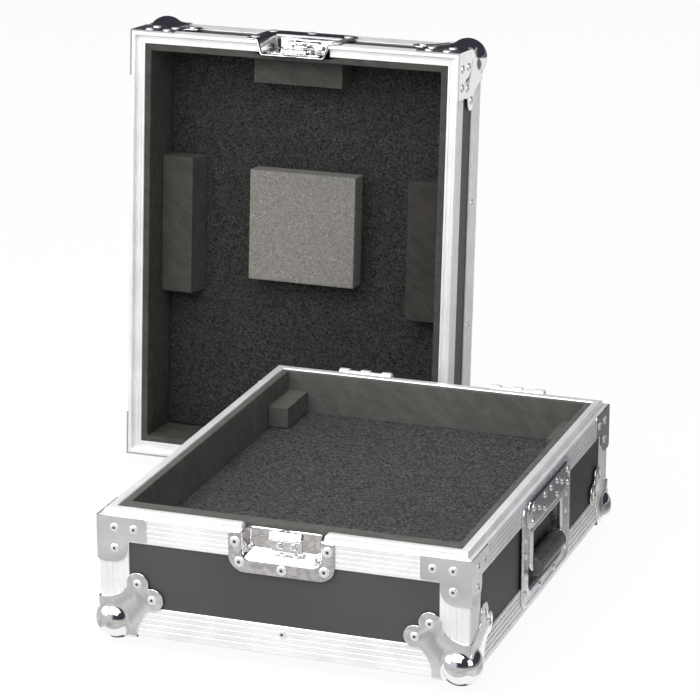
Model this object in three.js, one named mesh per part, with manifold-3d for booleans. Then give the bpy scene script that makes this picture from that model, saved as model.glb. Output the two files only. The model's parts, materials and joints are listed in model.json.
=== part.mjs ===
// Flight case for a table-top mixer: a base tray and its taken-off lid.
// Millimetres, +Z up. The base stands on four feet, the lid stands behind it on
// its hinge side, leaning back a little, with its lining towards the front.
// The origin is on the floor, in the middle of the footprint of both halves.

import * as THREE from 'three';
import { mergeVertices } from 'three/addons/utils/BufferGeometryUtils.js';
import Module from 'manifold-3d';

const wasm = await Module();
wasm.setup();

// Driving dimensions of the case

const CASE_WIDTH = 380;
const CASE_DEPTH = 483;
const BASE_HEIGHT = 123;
const LID_HEIGHT = 85;
const FOOT_HEIGHT = 16;
const FOOT_RADIUS = 18;
const FOOT_TOP_RADIUS = 15;
const FOOT_INSET_X = 62;
const FOOT_INSET_Y = 92;

// Clearance between neighbours, and sheet and board thicknesses

const GAP = 0.3;
const BOARD = 7;
const ANGLE_WALL = 1.5;
const PLATE = 1.2;
const BOARD_OUT = ANGLE_WALL + GAP;
const BOARD_IN = BOARD_OUT + BOARD;
const LINING_OUT = BOARD_IN + GAP;

// Aluminium angles along the edges, with fine lengthwise grooves

const ANGLE_LEG = 31;
const BASE_RIM_LEG = 26;
const LID_RIM_LEG = 22;
const GROOVE_WIDTH = 1.4;
const GROOVE_DEPTH = 0.5;
const ANGLE_GROOVES = 4;
const RIM_GROOVES = 3;
const EDGE_CHAMFER = 1.2;

// Tongue of the base rim and the rebate of the lid rim that it enters

const LAND_WIDTH = 4.7;
const TONGUE_HEIGHT = 6;
const TONGUE_SLOPE = 0.9;
const LIP_INSET = 13.9;
const LIP_LEG = 9;
const REBATE_DEPTH = TONGUE_HEIGHT + GAP;
const REBATE_LAND = LAND_WIDTH - GAP;
const SEAL_GROOVE_INSET = 10.2;
const SEAL_GROOVE_WIDTH = 0.9;

// Foam lining, pads and blocks, measured inwards from the outer faces

const LINING_SIDE = 21.5;
const LINING_REAR = 18.5;
const LINING_FRONT = 33;
const BASE_LINING_TOP = BASE_HEIGHT + TONGUE_HEIGHT - 1.5;
const BASE_PAD_TOP = 83;
const CORNER_BLOCK = { width: 22.5, length: 62, top: 106.5 };
const LID_PAD_TOP = 17.5;
const LID_BLOCK_TOP = 43.5;
const LID_TOP_BLOCK = { shift: -6, width: 104, hang: 31, top: 49 };
const LID_LEFT_BLOCK = { rise: 19.5, length: 156, width: 36.5, footWidth: 44 };
const LID_RIGHT_BLOCK = { rise: 14, length: 157, width: 44.5 };
const LID_CENTRE_BLOCK = { rise: 27.5, size: 125 };

// Ball corners: a pressed dome and three plates with two rivet lobes each

const DOME_CENTRE = 12.6;
const DOME_RADIUS = 21.4;
const CORNER_FLAT = 38;
const LOBE_NEAR = 40;
const LOBE_FAR = 55;
const LOBE_RADIUS = 11.5;
const LOBE_STEPS = 6;
const CORNER_WAIST = 10.4;
const CORNER_SHOULDER = 1.2;
const CORNER_RISE = 5.3;
const LOBE_FROM_SHARE = 1.08;
const LOBE_TO_SHARE = -0.1;

// Corner braces of the rims

const BRACE_LENGTH = 50;
const BRACE_BAND = 23.5;
const BRACE_LEG_WIDTH = 30;
const BRACE_LEG_HEIGHT = 47;
const BRACE_CHAMFER = 3;

// Hinge halves, one of each pair on either half of the case

const HINGE_WIDTH = 61;
const HINGE_SPREAD_SHARE = 0.458;
const HINGE_LEAF_HEIGHT = 20;
const HINGE_KNUCKLES = 5;
const HINGE_ROD_RADIUS = 4.2;
const BASE_KNUCKLE_SHARE = 0.8;

// Latch: shallow dish halves, catch plate, rotor, folding wing and hook

const DISH_WIDTH = 109;
const DISH_BASE_HEIGHT = 41;
const DISH_LID_HEIGHT = 76;
const DISH_RADIUS = 16;
const RECESS_TOP_WIDTH = 80;
const RECESS_FLOOR_WIDTH = 71;
const RECESS_DEPTH = 15;
const RECESS_BASE_HEIGHT = 26;
const RECESS_LID_HEIGHT = 59;
const RECESS_RADIUS = 9;
const CATCH_WIDTH = 32;
const CATCH_HEIGHT = 18;
const CATCH_LIP = 3;
const CATCH_LIP_HEIGHT = 7;
const LATCH_AXIS_DROP = 33;
const LATCH_MOUNT = { half: 30, low: 20, high: 27, radius: 5 };
const RAIL_HEIGHT = 2.1;
const RAIL_WIDTH = 3;
const RAIL_OFFSET = 9;
const GUIDE_WIDTH = 2;
const AXLE_RADIUS = 2.6;
const ROTOR_RADIUS = 12.5;
const ROTOR_THICKNESS = 2.6;
const EAR = { width: 1.6, depth: 4, rise: 4.2, offset: 8.5 };
const WING = { length: 40, lobe: 8, drop: 7, thickness: 2.4, notch: 3.8 };
const HOOK_WIDTH = 30;
const HOOK_THICKNESS = 2;
const HOOK_TRAVEL = 9;
const HOOK_TAIL = 13;
const HOOK_REACH = 30.5;
const HOOK_RADIUS = 4;
const SMALL_RADIUS = 1;

// Handle on the right side of the base

const HANDLE_CENTRE_FROM_FRONT = 247;
const HANDLE_DISH = { width: 168, low: 7, high: 121.5, radius: 15 };
const HANDLE_RECESS = { width: 118, low: 21, high: 96, depth: 14, radius: 8 };
const HANDLE_AXIS_HEIGHT = 84;
const HANDLE_AXIS_INSET = -0.5;
const BAIL_RADIUS = 3.1;
const BAIL_ARM_CLEARANCE = 2.9;
const BAIL_DROP = 43;
const BAIL_BEND = 8;
const GRIP_RADIUS = 11;
const GRIP_END_CLEARANCE = 9;
const COVER = { width: 142, low: 89, high: 118, radius: 9, thickness: 4.2 };

// Standing pose of the lid behind the base

const LID_LEAN = THREE.MathUtils.degToRad(4.6);
const LID_OFFSET_X = -186.5;
const LID_BEHIND_BASE = 10.5;

const HALF_WIDTH = CASE_WIDTH / 2;
const HALF_DEPTH = CASE_DEPTH / 2;
const HINGE_OFFSET = HALF_WIDTH * HINGE_SPREAD_SHARE;
const QUARTER_TURN = Math.PI / 2;

// Standing height of the lid: its two rear domes touch the floor, and the hinge
// knuckles reach down to it under the rim
const LID_TURN = QUARTER_TURN - LID_LEAN;
const LID_STAND = DOME_RADIUS - DOME_CENTRE * Math.sin(LID_TURN)
  + (LID_HEIGHT - DOME_CENTRE) * Math.cos(LID_TURN);
const KNUCKLE_RADIUS = LID_STAND / (1 + Math.sin(LID_TURN));

// Materials

function material(color, roughness, metalness) {
  return new THREE.MeshStandardMaterial({ color, roughness, metalness });
}

const LOOKS = {
  laminate: [0x484648, 0.62, 0],
  aluminium: [0xe2e2e0, 0.34, 0.9],
  steel: [0xbebcba, 0.36, 0.85],
  chrome: [0xc4c6c8, 0.14, 1],
  foam: [0x46443f, 0.95, 0],
  padFoam: [0x3c3e42, 0.96, 0],
  greyFoam: [0x787876, 0.95, 0],
  rubber: [0x242424, 0.8, 0],
};

// Closed solids

function solid(geometry) {
  geometry.deleteAttribute('normal');
  geometry.deleteAttribute('uv');
  const merged = mergeVertices(geometry, 1e-4);
  const vertProperties = new Float32Array(merged.attributes.position.array);
  const triVerts = new Uint32Array(merged.index.array);
  return new wasm.Manifold(new wasm.Mesh({ numProp: 3, vertProperties, triVerts }));
}

function toGeometry(body) {
  const mesh = body.getMesh();
  const geometry = new THREE.BufferGeometry();
  geometry.setAttribute('position', new THREE.BufferAttribute(mesh.vertProperties, 3));
  geometry.setIndex(new THREE.BufferAttribute(mesh.triVerts, 1));
  geometry.computeVertexNormals();
  return geometry;
}

function piece(name, body, look) {
  const mesh = new THREE.Mesh(toGeometry(body), material(...LOOKS[look]));
  mesh.name = name;
  return mesh;
}

// A box between two corners
function box(low, high) {
  const size = high.map((value, axis) => value - low[axis]);
  const geometry = new THREE.BoxGeometry(...size);
  geometry.translate(...low.map((value, axis) => value + size[axis] / 2));
  return solid(geometry);
}

// An outline in the first two axes, extruded along the third
function prism(points, depth) {
  const shape = new THREE.Shape(points.map(([a, b]) => new THREE.Vector2(a, b)));
  return solid(new THREE.ExtrudeGeometry(shape, { depth, bevelEnabled: false }));
}

function cylinder(radius, length, segments = 24) {
  const geometry = new THREE.CylinderGeometry(radius, radius, length, segments);
  return solid(geometry);
}

const RIGHT_ANGLE_DEGREES = 90;
const HALF_TURN_DEGREES = 2 * RIGHT_ANGLE_DEGREES;
const HALF_SHARE = 0.5;

// Points of an arc in the plane, both ends included
function arc(centreA, centreB, radius, from, to, steps) {
  const points = [];
  for (let step = 0; step <= steps; step += 1) {
    const angle = from + ((to - from) * step) / steps;
    points.push([centreA + radius * Math.cos(angle), centreB + radius * Math.sin(angle)]);
  }
  return points;
}

const CORNER_STEPS = 5;

// A rectangle outline with its own radius at each corner, from low left onwards
function roundedOutline(left, low, right, high, radii) {
  const [lowLeft, lowRight, highRight, highLeft] = radii;
  const corner = (a, b, radius, turn) => (radius === 0
    ? [[a, b]]
    : arc(a, b, radius, turn * QUARTER_TURN, (turn + 1) * QUARTER_TURN, CORNER_STEPS));
  return [
    ...corner(left + lowLeft, low + lowLeft, lowLeft, 2),
    ...corner(right - lowRight, low + lowRight, lowRight, 3),
    ...corner(right - highRight, high - highRight, highRight, 0),
    ...corner(left + highLeft, high - highLeft, highLeft, 1),
  ];
}

// Turns an outline drawn on the front face (across, up) and extruded away from
// the viewer into place: across stays X, up becomes Z, depth becomes +Y
function onFront(body) {
  return body.rotate([RIGHT_ANGLE_DEGREES, 0, 0]).mirror([0, 1, 0]);
}

// Aluminium sections. A section is a list of [inset, height] points, the inset
// running inwards from the outer face and the height away from the closed side.

function groovesUp(inset, from, to, count) {
  const points = [];
  for (let groove = 1; groove <= count; groove += 1) {
    const middle = from + ((to - from) * groove) / (count + 1);
    const half = (Math.sign(to - from) * GROOVE_WIDTH) / 2;
    points.push([inset, middle - half]);
    points.push([inset + GROOVE_DEPTH, middle]);
    points.push([inset, middle + half]);
  }
  return points;
}

function angleSection() {
  const swap = ([a, b]) => [b, a];
  return [
    [EDGE_CHAMFER, 0],
    ...groovesUp(0, EDGE_CHAMFER, ANGLE_LEG, ANGLE_GROOVES).map(swap),
    [ANGLE_LEG, 0],
    [ANGLE_LEG, ANGLE_WALL],
    [ANGLE_WALL, ANGLE_WALL],
    [ANGLE_WALL, ANGLE_LEG],
    [0, ANGLE_LEG],
    ...groovesUp(0, ANGLE_LEG, EDGE_CHAMFER, ANGLE_GROOVES),
    [0, EDGE_CHAMFER],
  ];
}

function baseRimSection(height) {
  return [
    [0, height - BASE_RIM_LEG],
    [ANGLE_WALL, height - BASE_RIM_LEG],
    [ANGLE_WALL, height - ANGLE_WALL],
    [LINING_OUT, height - ANGLE_WALL],
    [LINING_OUT, height - LIP_LEG],
    [LIP_INSET, height - LIP_LEG],
    [LIP_INSET, height + TONGUE_HEIGHT - TONGUE_SLOPE],
    [LIP_INSET - TONGUE_SLOPE, height + TONGUE_HEIGHT],
    [LAND_WIDTH + TONGUE_SLOPE, height + TONGUE_HEIGHT],
    [LAND_WIDTH, height + TONGUE_HEIGHT - TONGUE_SLOPE],
    [LAND_WIDTH, height],
    [0, height],
    ...groovesUp(0, height, height - BASE_RIM_LEG, RIM_GROOVES),
  ];
}

function lidRimSection(height) {
  const floor = height - REBATE_DEPTH;
  return [
    [0, height - LID_RIM_LEG],
    [ANGLE_WALL, height - LID_RIM_LEG],
    [ANGLE_WALL, floor - ANGLE_WALL],
    [LINING_OUT, floor - ANGLE_WALL],
    [LINING_OUT, floor - LIP_LEG],
    [LIP_INSET, floor - LIP_LEG],
    [LIP_INSET, floor],
    [SEAL_GROOVE_INSET + SEAL_GROOVE_WIDTH, floor],
    [SEAL_GROOVE_INSET + SEAL_GROOVE_WIDTH, floor - SEAL_GROOVE_WIDTH],
    [SEAL_GROOVE_INSET, floor - SEAL_GROOVE_WIDTH],
    [SEAL_GROOVE_INSET, floor],
    [REBATE_LAND, floor],
    [REBATE_LAND, height],
    [0, height],
    ...groovesUp(0, height, height - LID_RIM_LEG, RIM_GROOVES),
  ];
}

// One bar of a mitred frame along the side at -Y, then turned to its side. The
// mitre shortens each line of the section by its own inset at both ends.
function mitredBar(section, length, across, turn) {
  const shape = new THREE.Shape(section.map(([a, b]) => new THREE.Vector2(a, b)));
  const geometry = new THREE.ExtrudeGeometry(shape, { depth: 1, bevelEnabled: false });
  const position = geometry.attributes.position;
  for (let index = 0; index < position.count; index += 1) {
    const inset = position.getX(index);
    const height = position.getY(index);
    const end = position.getZ(index) < HALF_SHARE ? -1 : 1;
    position.setXYZ(index, end * (length / 2 - inset), inset - across / 2, height);
  }
  return solid(geometry).rotate([0, 0, turn * RIGHT_ANGLE_DEGREES]);
}

function mitredFrame(section) {
  let frame = mitredBar(section, CASE_WIDTH, CASE_DEPTH, 0);
  frame = frame.add(mitredBar(section, CASE_DEPTH, CASE_WIDTH, 1));
  frame = frame.add(mitredBar(section, CASE_WIDTH, CASE_DEPTH, 2));
  return frame.add(mitredBar(section, CASE_DEPTH, CASE_WIDTH, 3));
}

// Places a body made at the corner -X -Y at corner 0 to 3, going round +Z
function atCorner(body, corner) {
  const spin = body.rotate([0, 0, corner * RIGHT_ANGLE_DEGREES]);
  const signX = corner === 0 || corner === 3 ? -1 : 1;
  const signY = corner < 2 ? -1 : 1;
  return spin.translate([signX * HALF_WIDTH, signY * HALF_DEPTH, 0]);
}

const CORNER_NAMES = ['latch_left', 'latch_right', 'hinge_right', 'hinge_left'];

// Four bottom edges and four posts of one half, as one riveted frame
function edgeFrame(height, rimLeg) {
  let frame = mitredFrame(angleSection());
  const post = prism(angleSection(), height - rimLeg - ANGLE_LEG)
    .translate([0, 0, ANGLE_LEG]);
  for (let corner = 0; corner < CORNER_NAMES.length; corner += 1) {
    frame = frame.add(atCorner(post, corner));
  }
  return frame;
}

// Outline of one ball corner plate, from the corner of the case at 0, 0. The
// first half runs up one side, and the second is its mirror about the diagonal.
function cornerOutline(grow, out) {
  const flat = CORNER_FLAT + grow;
  const radius = LOBE_RADIUS + grow;
  const from = LOBE_FROM_SHARE * Math.PI;
  const to = LOBE_TO_SHARE * Math.PI;
  const half = [
    [-out, flat],
    [CORNER_WAIST, flat + CORNER_SHOULDER],
    [CORNER_WAIST * 2, flat + CORNER_RISE],
    ...arc(LOBE_NEAR, LOBE_FAR, radius, from, to, LOBE_STEPS),
  ];
  const mirrored = half.map(([a, b]) => [b, a]).reverse();
  return [...half, ...mirrored, [-out, -out]].reverse();
}

const SPHERE_AROUND = 24;
const SPHERE_UP = 12;

// The three plates lie between the distance out and the faces of the case, or
// a little further in when they serve to cut other pieces
function cornerPlates(grow, out, thickness) {
  const plate = prism(cornerOutline(grow, out), thickness).translate([0, 0, -out]);
  const onSide = plate.rotate([RIGHT_ANGLE_DEGREES, 0, 0]).mirror([0, 1, 0]);
  const onOther = plate.rotate([0, -RIGHT_ANGLE_DEGREES, 0]).mirror([1, 0, 0]);
  return plate.add(onSide).add(onOther);
}

function ballCorner() {
  const dome = solid(new THREE.SphereGeometry(DOME_RADIUS, SPHERE_AROUND, SPHERE_UP))
    .translate([DOME_CENTRE, DOME_CENTRE, DOME_CENTRE]);
  const reach = LOBE_FAR + LOBE_RADIUS * 2;
  const inside = box([-GAP, -GAP, -GAP], [reach, reach, reach]);
  return cornerPlates(0, PLATE + GAP, PLATE).add(dome).subtract(inside);
}

// Brace of a rim corner: an angle with a long leg along the rim on either face
function rimBrace(height) {
  const out = GAP + PLATE;
  const low = height - BRACE_LEG_HEIGHT;
  const band = height - BRACE_BAND;
  const round = BRACE_LENGTH - BRACE_LEG_WIDTH;
  const outline = [
    [-out, low + BRACE_CHAMFER],
    [BRACE_CHAMFER - out, low],
    [BRACE_LEG_WIDTH / 2, low],
    ...arc(BRACE_LEG_WIDTH / 2, low + BRACE_LEG_WIDTH / 2, BRACE_LEG_WIDTH / 2,
      -QUARTER_TURN, 0, CORNER_STEPS).slice(1),
    [BRACE_LEG_WIDTH, band],
    [BRACE_LEG_WIDTH + round - BRACE_CHAMFER / 2, band],
    [BRACE_LENGTH, band + BRACE_CHAMFER / 2],
    [BRACE_LENGTH, height - BRACE_CHAMFER / 2],
    [BRACE_LENGTH - BRACE_CHAMFER / 2, height],
    [-out, height],
  ];
  const face = prism(outline, PLATE);
  const front = face.rotate([RIGHT_ANGLE_DEGREES, 0, 0]).translate([0, -GAP, 0]);
  const side = front.rotate([0, 0, RIGHT_ANGLE_DEGREES]).mirror([1, 0, 0]);
  const clear = cornerPlates(GAP, PLATE * 2, PLATE * 5);
  return front.add(side).subtract(clear);
}

// Boards of one half: the closed face and four walls
function boards(prefix, height, top) {
  const x = HALF_WIDTH - BOARD_OUT;
  const y = HALF_DEPTH - BOARD_OUT;
  const innerY = HALF_DEPTH - LINING_OUT;
  const low = LINING_OUT;
  const high = height - top;
  return {
    [`${prefix}_face_panel`]: box([-x, -y, BOARD_OUT], [x, y, BOARD_IN]),
    [`${prefix}_wall_minus_y`]: box([-x, -y, low], [x, BOARD - y, high]),
    [`${prefix}_wall_plus_y`]: box([-x, y - BOARD, low], [x, y, high]),
    [`${prefix}_wall_left`]: box([-x, -innerY, low], [BOARD - x, innerY, high]),
    [`${prefix}_wall_right`]: box([x - BOARD, -innerY, low], [x, innerY, high]),
  };
}

// Foam walls as one ring, rebated round the inner leg of the rim
function lining(insets, low, shoulder, high) {
  const ring = (out, bottom, top) => {
    const body = box(
      [out - HALF_WIDTH, out - HALF_DEPTH, bottom],
      [HALF_WIDTH - out, HALF_DEPTH - out, top],
    );
    const inner = box(
      [insets.left - HALF_WIDTH, insets.minusY - HALF_DEPTH, bottom - BOARD],
      [HALF_WIDTH - insets.right, HALF_DEPTH - insets.plusY, top + BOARD],
    );
    return body.subtract(inner);
  };
  return ring(LINING_OUT, low, shoulder).add(ring(LIP_INSET + GAP, shoulder, high));
}

// A pressed latch dish on the side at -Y with its open end at the rim plane.
// Solid is what the dish takes out of the case, hollow is the recess in it.
function latchDish(rim, plateHeight, recessHeight) {
  const low = rim - plateHeight;
  const half = DISH_WIDTH / 2;
  const flange = onFront(prism(
    roundedOutline(-half, low, half, rim, [DISH_RADIUS, DISH_RADIUS, 0, 0]),
    PLATE,
  )).translate([0, -GAP - PLATE, 0]);
  const tray = (wall) => {
    const top = RECESS_TOP_WIDTH / 2 + wall;
    const floor = RECESS_FLOOR_WIDTH / 2 + wall;
    const depth = RECESS_DEPTH + wall;
    const bottom = rim - recessHeight - wall;
    const draft = (RECESS_TOP_WIDTH - RECESS_FLOOR_WIDTH) / 2;
    const outline = roundedOutline(-top, bottom, top, rim + TONGUE_HEIGHT * 2,
      [RECESS_RADIUS, RECESS_RADIUS, 0, 0]);
    const shape = new THREE.Shape(outline.map(([a, b]) => new THREE.Vector2(a, b)));
    const geometry = new THREE.ExtrudeGeometry(shape, { depth: 1, bevelEnabled: false });
    const position = geometry.attributes.position;
    for (let index = 0; index < position.count; index += 1) {
      const across = position.getX(index);
      const up = position.getY(index);
      const deep = position.getZ(index) > HALF_SHARE;
      const x = deep ? (across * floor) / top : across;
      const z = deep && up < rim ? up + draft : up;
      position.setXYZ(index, x, deep ? depth : -PLATE * 3, z);
    }
    return solid(reverseFaces(geometry));
  };
  return { flange, tray };
}

// The mapping of an extrusion to (across, depth, up) turns its faces inside
// out, so each triangle is written the other way round
function reverseFaces(geometry) {
  const position = geometry.attributes.position;
  const first = new THREE.Vector3();
  const second = new THREE.Vector3();
  for (let index = 0; index < position.count; index += 3) {
    first.fromBufferAttribute(position, index + 1);
    second.fromBufferAttribute(position, index + 2);
    position.setXYZ(index + 1, second.x, second.y, second.z);
    position.setXYZ(index + 2, first.x, first.y, first.z);
  }
  return geometry;
}

function buildLatchDish(rim, plateHeight, recessHeight, wallTop) {
  const { flange, tray } = latchDish(rim, plateHeight, recessHeight);
  const reach = DISH_WIDTH;
  const above = box([-reach, -reach, wallTop], [reach, reach, wallTop + reach]);
  const front = box([-reach, -reach, 0], [reach, -GAP - PLATE, rim + reach]);
  const outer = tray(PLATE).subtract(above).subtract(front);
  const dish = outer.add(flange).subtract(tray(0));
  const pocket = tray(PLATE + GAP);
  return {
    dish: dish.translate([0, -HALF_DEPTH, 0]),
    pocket: pocket.translate([0, -HALF_DEPTH, 0]),
  };
}

// Hinge half on the side at +Y. Odd knuckles belong to one half, even to the other.
function hingeHalf(rim, remainder, knuckleRadius) {
  const half = HINGE_WIDTH / 2;
  const step = HINGE_WIDTH / HINGE_KNUCKLES;
  const face = HALF_DEPTH + GAP;
  const axis = HALF_DEPTH + KNUCKLE_RADIUS;
  let body = box([-half, face, rim - HINGE_LEAF_HEIGHT], [half, face + PLATE * 1.5, rim - GAP]);
  for (let knuckle = 0; knuckle < HINGE_KNUCKLES; knuckle += 1) {
    const left = -half + step * knuckle;
    const own = knuckle % 2 === remainder;
    const barrel = cylinder(knuckleRadius, step - GAP * 2, 18)
      .rotate([0, 0, RIGHT_ANGLE_DEGREES])
      .translate([left + step / 2, axis, rim]);
    const root = box(
      [left + GAP, face, rim - knuckleRadius],
      [left + step - GAP, axis, rim - GAP],
    );
    if (own) {
      body = body.add(barrel).add(root);
    }
  }
  const behind = box([-half - step, 0, 0], [half + step, face, rim + KNUCKLE_RADIUS * 2]);
  return body.subtract(behind);
}

// A rod along the hinge axis: the base half keeps it, the lid half is bored for it
function hingeRod(rim, radius, length) {
  return cylinder(radius, length, 14)
    .rotate([0, 0, RIGHT_ANGLE_DEGREES])
    .translate([0, HALF_DEPTH + KNUCKLE_RADIUS, rim]);
}

// Base

const base = new THREE.Group();
base.position.z = FOOT_HEIGHT;

const basePocket = buildLatchDish(
  BASE_HEIGHT, DISH_BASE_HEIGHT, RECESS_BASE_HEIGHT, BASE_HEIGHT + TONGUE_HEIGHT / 4,
);

// Handle dish, made on the side at +X with its centre at handleY
const handleY = HANDLE_CENTRE_FROM_FRONT - HALF_DEPTH;

// An outline drawn as (along, up) on the right side, extruded inwards from the
// given inset: along becomes +Y
function onRight(points, inset, depth) {
  return prism(points, depth)
    .rotate([RIGHT_ANGLE_DEGREES, 0, 0])
    .rotate([0, 0, RIGHT_ANGLE_DEGREES])
    .translate([HALF_WIDTH - inset - depth, handleY, 0]);
}

function recessOutline(grow) {
  const half = HANDLE_RECESS.width / 2 + grow;
  const radius = HANDLE_RECESS.radius + grow;
  return roundedOutline(-half, HANDLE_RECESS.low - grow, half, HANDLE_RECESS.high + grow,
    [radius, radius, radius, radius]);
}

function buildHandle() {
  const half = HANDLE_DISH.width / 2;
  const radius = HANDLE_DISH.radius;
  const flange = onRight(
    roundedOutline(-half, HANDLE_DISH.low, half, HANDLE_DISH.high,
      [radius, radius, radius, radius]),
    -GAP - PLATE, PLATE,
  );
  const depth = HANDLE_RECESS.depth;
  const outer = onRight(recessOutline(PLATE), -GAP, depth + PLATE + GAP);
  const hollow = onRight(recessOutline(0), -GAP - PLATE * 2, depth + GAP + PLATE * 2);
  const pocket = onRight(recessOutline(PLATE + GAP), -GAP, depth + PLATE + GAP * 2);
  const axisX = HALF_WIDTH - HANDLE_AXIS_INSET;
  const pinLength = HANDLE_RECESS.width + PLATE * 2;
  const pinHole = cylinder(BAIL_RADIUS + GAP, pinLength + GAP * 2)
    .translate([axisX, handleY, HANDLE_AXIS_HEIGHT]);
  const dish = outer.add(flange).subtract(hollow).subtract(pinHole);

  const arm = HANDLE_RECESS.width / 2 - BAIL_RADIUS - BAIL_ARM_CLEARANCE;
  const gripLength = 2 * (arm - GRIP_END_CLEARANCE);
  const bottom = -BAIL_DROP;
  const bend = BAIL_BEND;
  const path = new THREE.CurvePath();
  const at = (along, up) => new THREE.Vector3(0, along, up);
  path.add(new THREE.LineCurve3(at(-arm, 0), at(-arm, bottom + bend)));
  path.add(new THREE.QuadraticBezierCurve3(
    at(-arm, bottom + bend), at(-arm, bottom), at(bend - arm, bottom)));
  path.add(new THREE.LineCurve3(at(bend - arm, bottom), at(arm - bend, bottom)));
  path.add(new THREE.QuadraticBezierCurve3(
    at(arm - bend, bottom), at(arm, bottom), at(arm, bottom + bend)));
  path.add(new THREE.LineCurve3(at(arm, bottom + bend), at(arm, 0)));
  const round = new THREE.Shape();
  round.absarc(0, 0, BAIL_RADIUS, 0, Math.PI * 2);
  const rod = solid(new THREE.ExtrudeGeometry(round, {
    extrudePath: path, steps: 40, curveSegments: 4, bevelEnabled: false,
  }));
  const bail = rod.add(cylinder(BAIL_RADIUS, pinLength, 16))
    .translate([axisX, handleY, HANDLE_AXIS_HEIGHT]);
  const grip = cylinder(GRIP_RADIUS, gripLength, 28)
    .subtract(cylinder(BAIL_RADIUS + GAP, gripLength * 2, 12))
    .translate([axisX, handleY, HANDLE_AXIS_HEIGHT - BAIL_DROP]);

  const coverHalf = COVER.width / 2;
  const coverOut = -GAP * 2 - PLATE - COVER.thickness;
  const cover = onRight(
    roundedOutline(-coverHalf, COVER.low, coverHalf, COVER.high,
      [COVER.radius, COVER.radius, COVER.radius, COVER.radius]),
    coverOut, COVER.thickness,
  ).subtract(pinHole);
  return { dish, pocket, bail, grip, cover };
}

const handle = buildHandle();
const baseRim = mitredFrame(baseRimSection(BASE_HEIGHT));
const baseBoards = boards('base', BASE_HEIGHT, BOARD_OUT);
baseBoards.base_wall_minus_y = baseBoards.base_wall_minus_y.subtract(basePocket.pocket);
baseBoards.base_wall_right = baseBoards.base_wall_right.subtract(handle.pocket);

for (const [name, body] of Object.entries(baseBoards)) {
  base.add(piece(name, body, 'laminate'));
}
base.add(piece(
  'base_edge_frame',
  edgeFrame(BASE_HEIGHT, BASE_RIM_LEG).subtract(handle.pocket).subtract(basePocket.pocket),
  'aluminium',
));
base.add(piece(
  'base_rim_frame',
  baseRim.subtract(handle.pocket).subtract(basePocket.pocket),
  'aluminium',
));
const cornerBody = ballCorner();
const baseBrace = rimBrace(BASE_HEIGHT);
CORNER_NAMES.forEach((cornerName, corner) => {
  base.add(piece(`base_ball_corner_${cornerName}`, atCorner(cornerBody, corner), 'chrome'));
  base.add(piece(`base_rim_brace_${cornerName}`, atCorner(baseBrace, corner), 'steel'));
});

base.add(piece('base_latch_dish', basePocket.dish, 'chrome'));

// Catch plate with a lip that the hook pulls on
function catchPlate() {
  const half = CATCH_WIDTH / 2;
  const back = RECESS_DEPTH - GAP;
  const front = back - PLATE;
  const lip = back - CATCH_LIP;
  const top = BASE_HEIGHT;
  const shoulder = top - CATCH_LIP_HEIGHT;
  const side = [
    [back, top - CATCH_HEIGHT],
    [front, top - CATCH_HEIGHT],
    [front, shoulder],
    [lip, shoulder + CATCH_LIP],
    [lip, top],
    [lip + PLATE, top],
    [lip + PLATE, shoulder + CATCH_LIP + PLATE / 2],
    [back, shoulder + PLATE],
  ].reverse();
  return prism(side, CATCH_WIDTH)
    .rotate([RIGHT_ANGLE_DEGREES, 0, 0])
    .rotate([0, 0, RIGHT_ANGLE_DEGREES])
    .translate([-half, -HALF_DEPTH, 0]);
}

base.add(piece('base_catch_plate', catchPlate(), 'steel'));
base.add(piece('base_handle_dish', handle.dish, 'chrome'));
base.add(piece('base_handle_cover', handle.cover, 'steel'));
base.add(piece('base_handle_bail', handle.bail, 'chrome'));
base.add(piece('base_handle_grip', handle.grip, 'rubber'));

const baseHinge = hingeHalf(BASE_HEIGHT, 0, KNUCKLE_RADIUS * BASE_KNUCKLE_SHARE)
  .add(hingeRod(BASE_HEIGHT, HINGE_ROD_RADIUS, HINGE_WIDTH - HINGE_ROD_RADIUS));
base.add(piece('base_hinge_left', baseHinge.translate([-HINGE_OFFSET, 0, 0]), 'steel'));
base.add(piece('base_hinge_right', baseHinge.translate([HINGE_OFFSET, 0, 0]), 'steel'));

const footProfile = [
  new THREE.Vector2(0, -FOOT_HEIGHT),
  new THREE.Vector2(FOOT_TOP_RADIUS, -FOOT_HEIGHT),
  new THREE.Vector2(FOOT_RADIUS, BOARD_OUT - GAP),
  new THREE.Vector2(0, BOARD_OUT - GAP),
];
const footBody = solid(new THREE.LatheGeometry(footProfile, 24))
  .rotate([RIGHT_ANGLE_DEGREES, 0, 0]);
const FOOT_SPOTS = {
  front_left: [-1, -1],
  front_right: [1, -1],
  rear_left: [-1, 1],
  rear_right: [1, 1],
};
for (const [spot, [signX, signY]] of Object.entries(FOOT_SPOTS)) {
  base.add(piece(`base_foot_${spot}`, footBody.translate([
    signX * (HALF_WIDTH - FOOT_INSET_X), signY * (HALF_DEPTH - FOOT_INSET_Y), 0,
  ]), 'rubber'));
}

const baseLining = lining(
  { left: LINING_SIDE, right: LINING_SIDE, minusY: LINING_FRONT, plusY: LINING_REAR },
  LINING_OUT, BASE_HEIGHT - LIP_LEG - GAP, BASE_LINING_TOP,
).subtract(handle.pocket).subtract(basePocket.pocket);
base.add(piece('base_foam_lining', baseLining, 'foam'));
const padLeft = LINING_SIDE + GAP - HALF_WIDTH;
const padRight = HALF_WIDTH - LINING_SIDE - GAP;
const padFront = LINING_FRONT + GAP - HALF_DEPTH;
const padRear = HALF_DEPTH - LINING_REAR - GAP;
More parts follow.
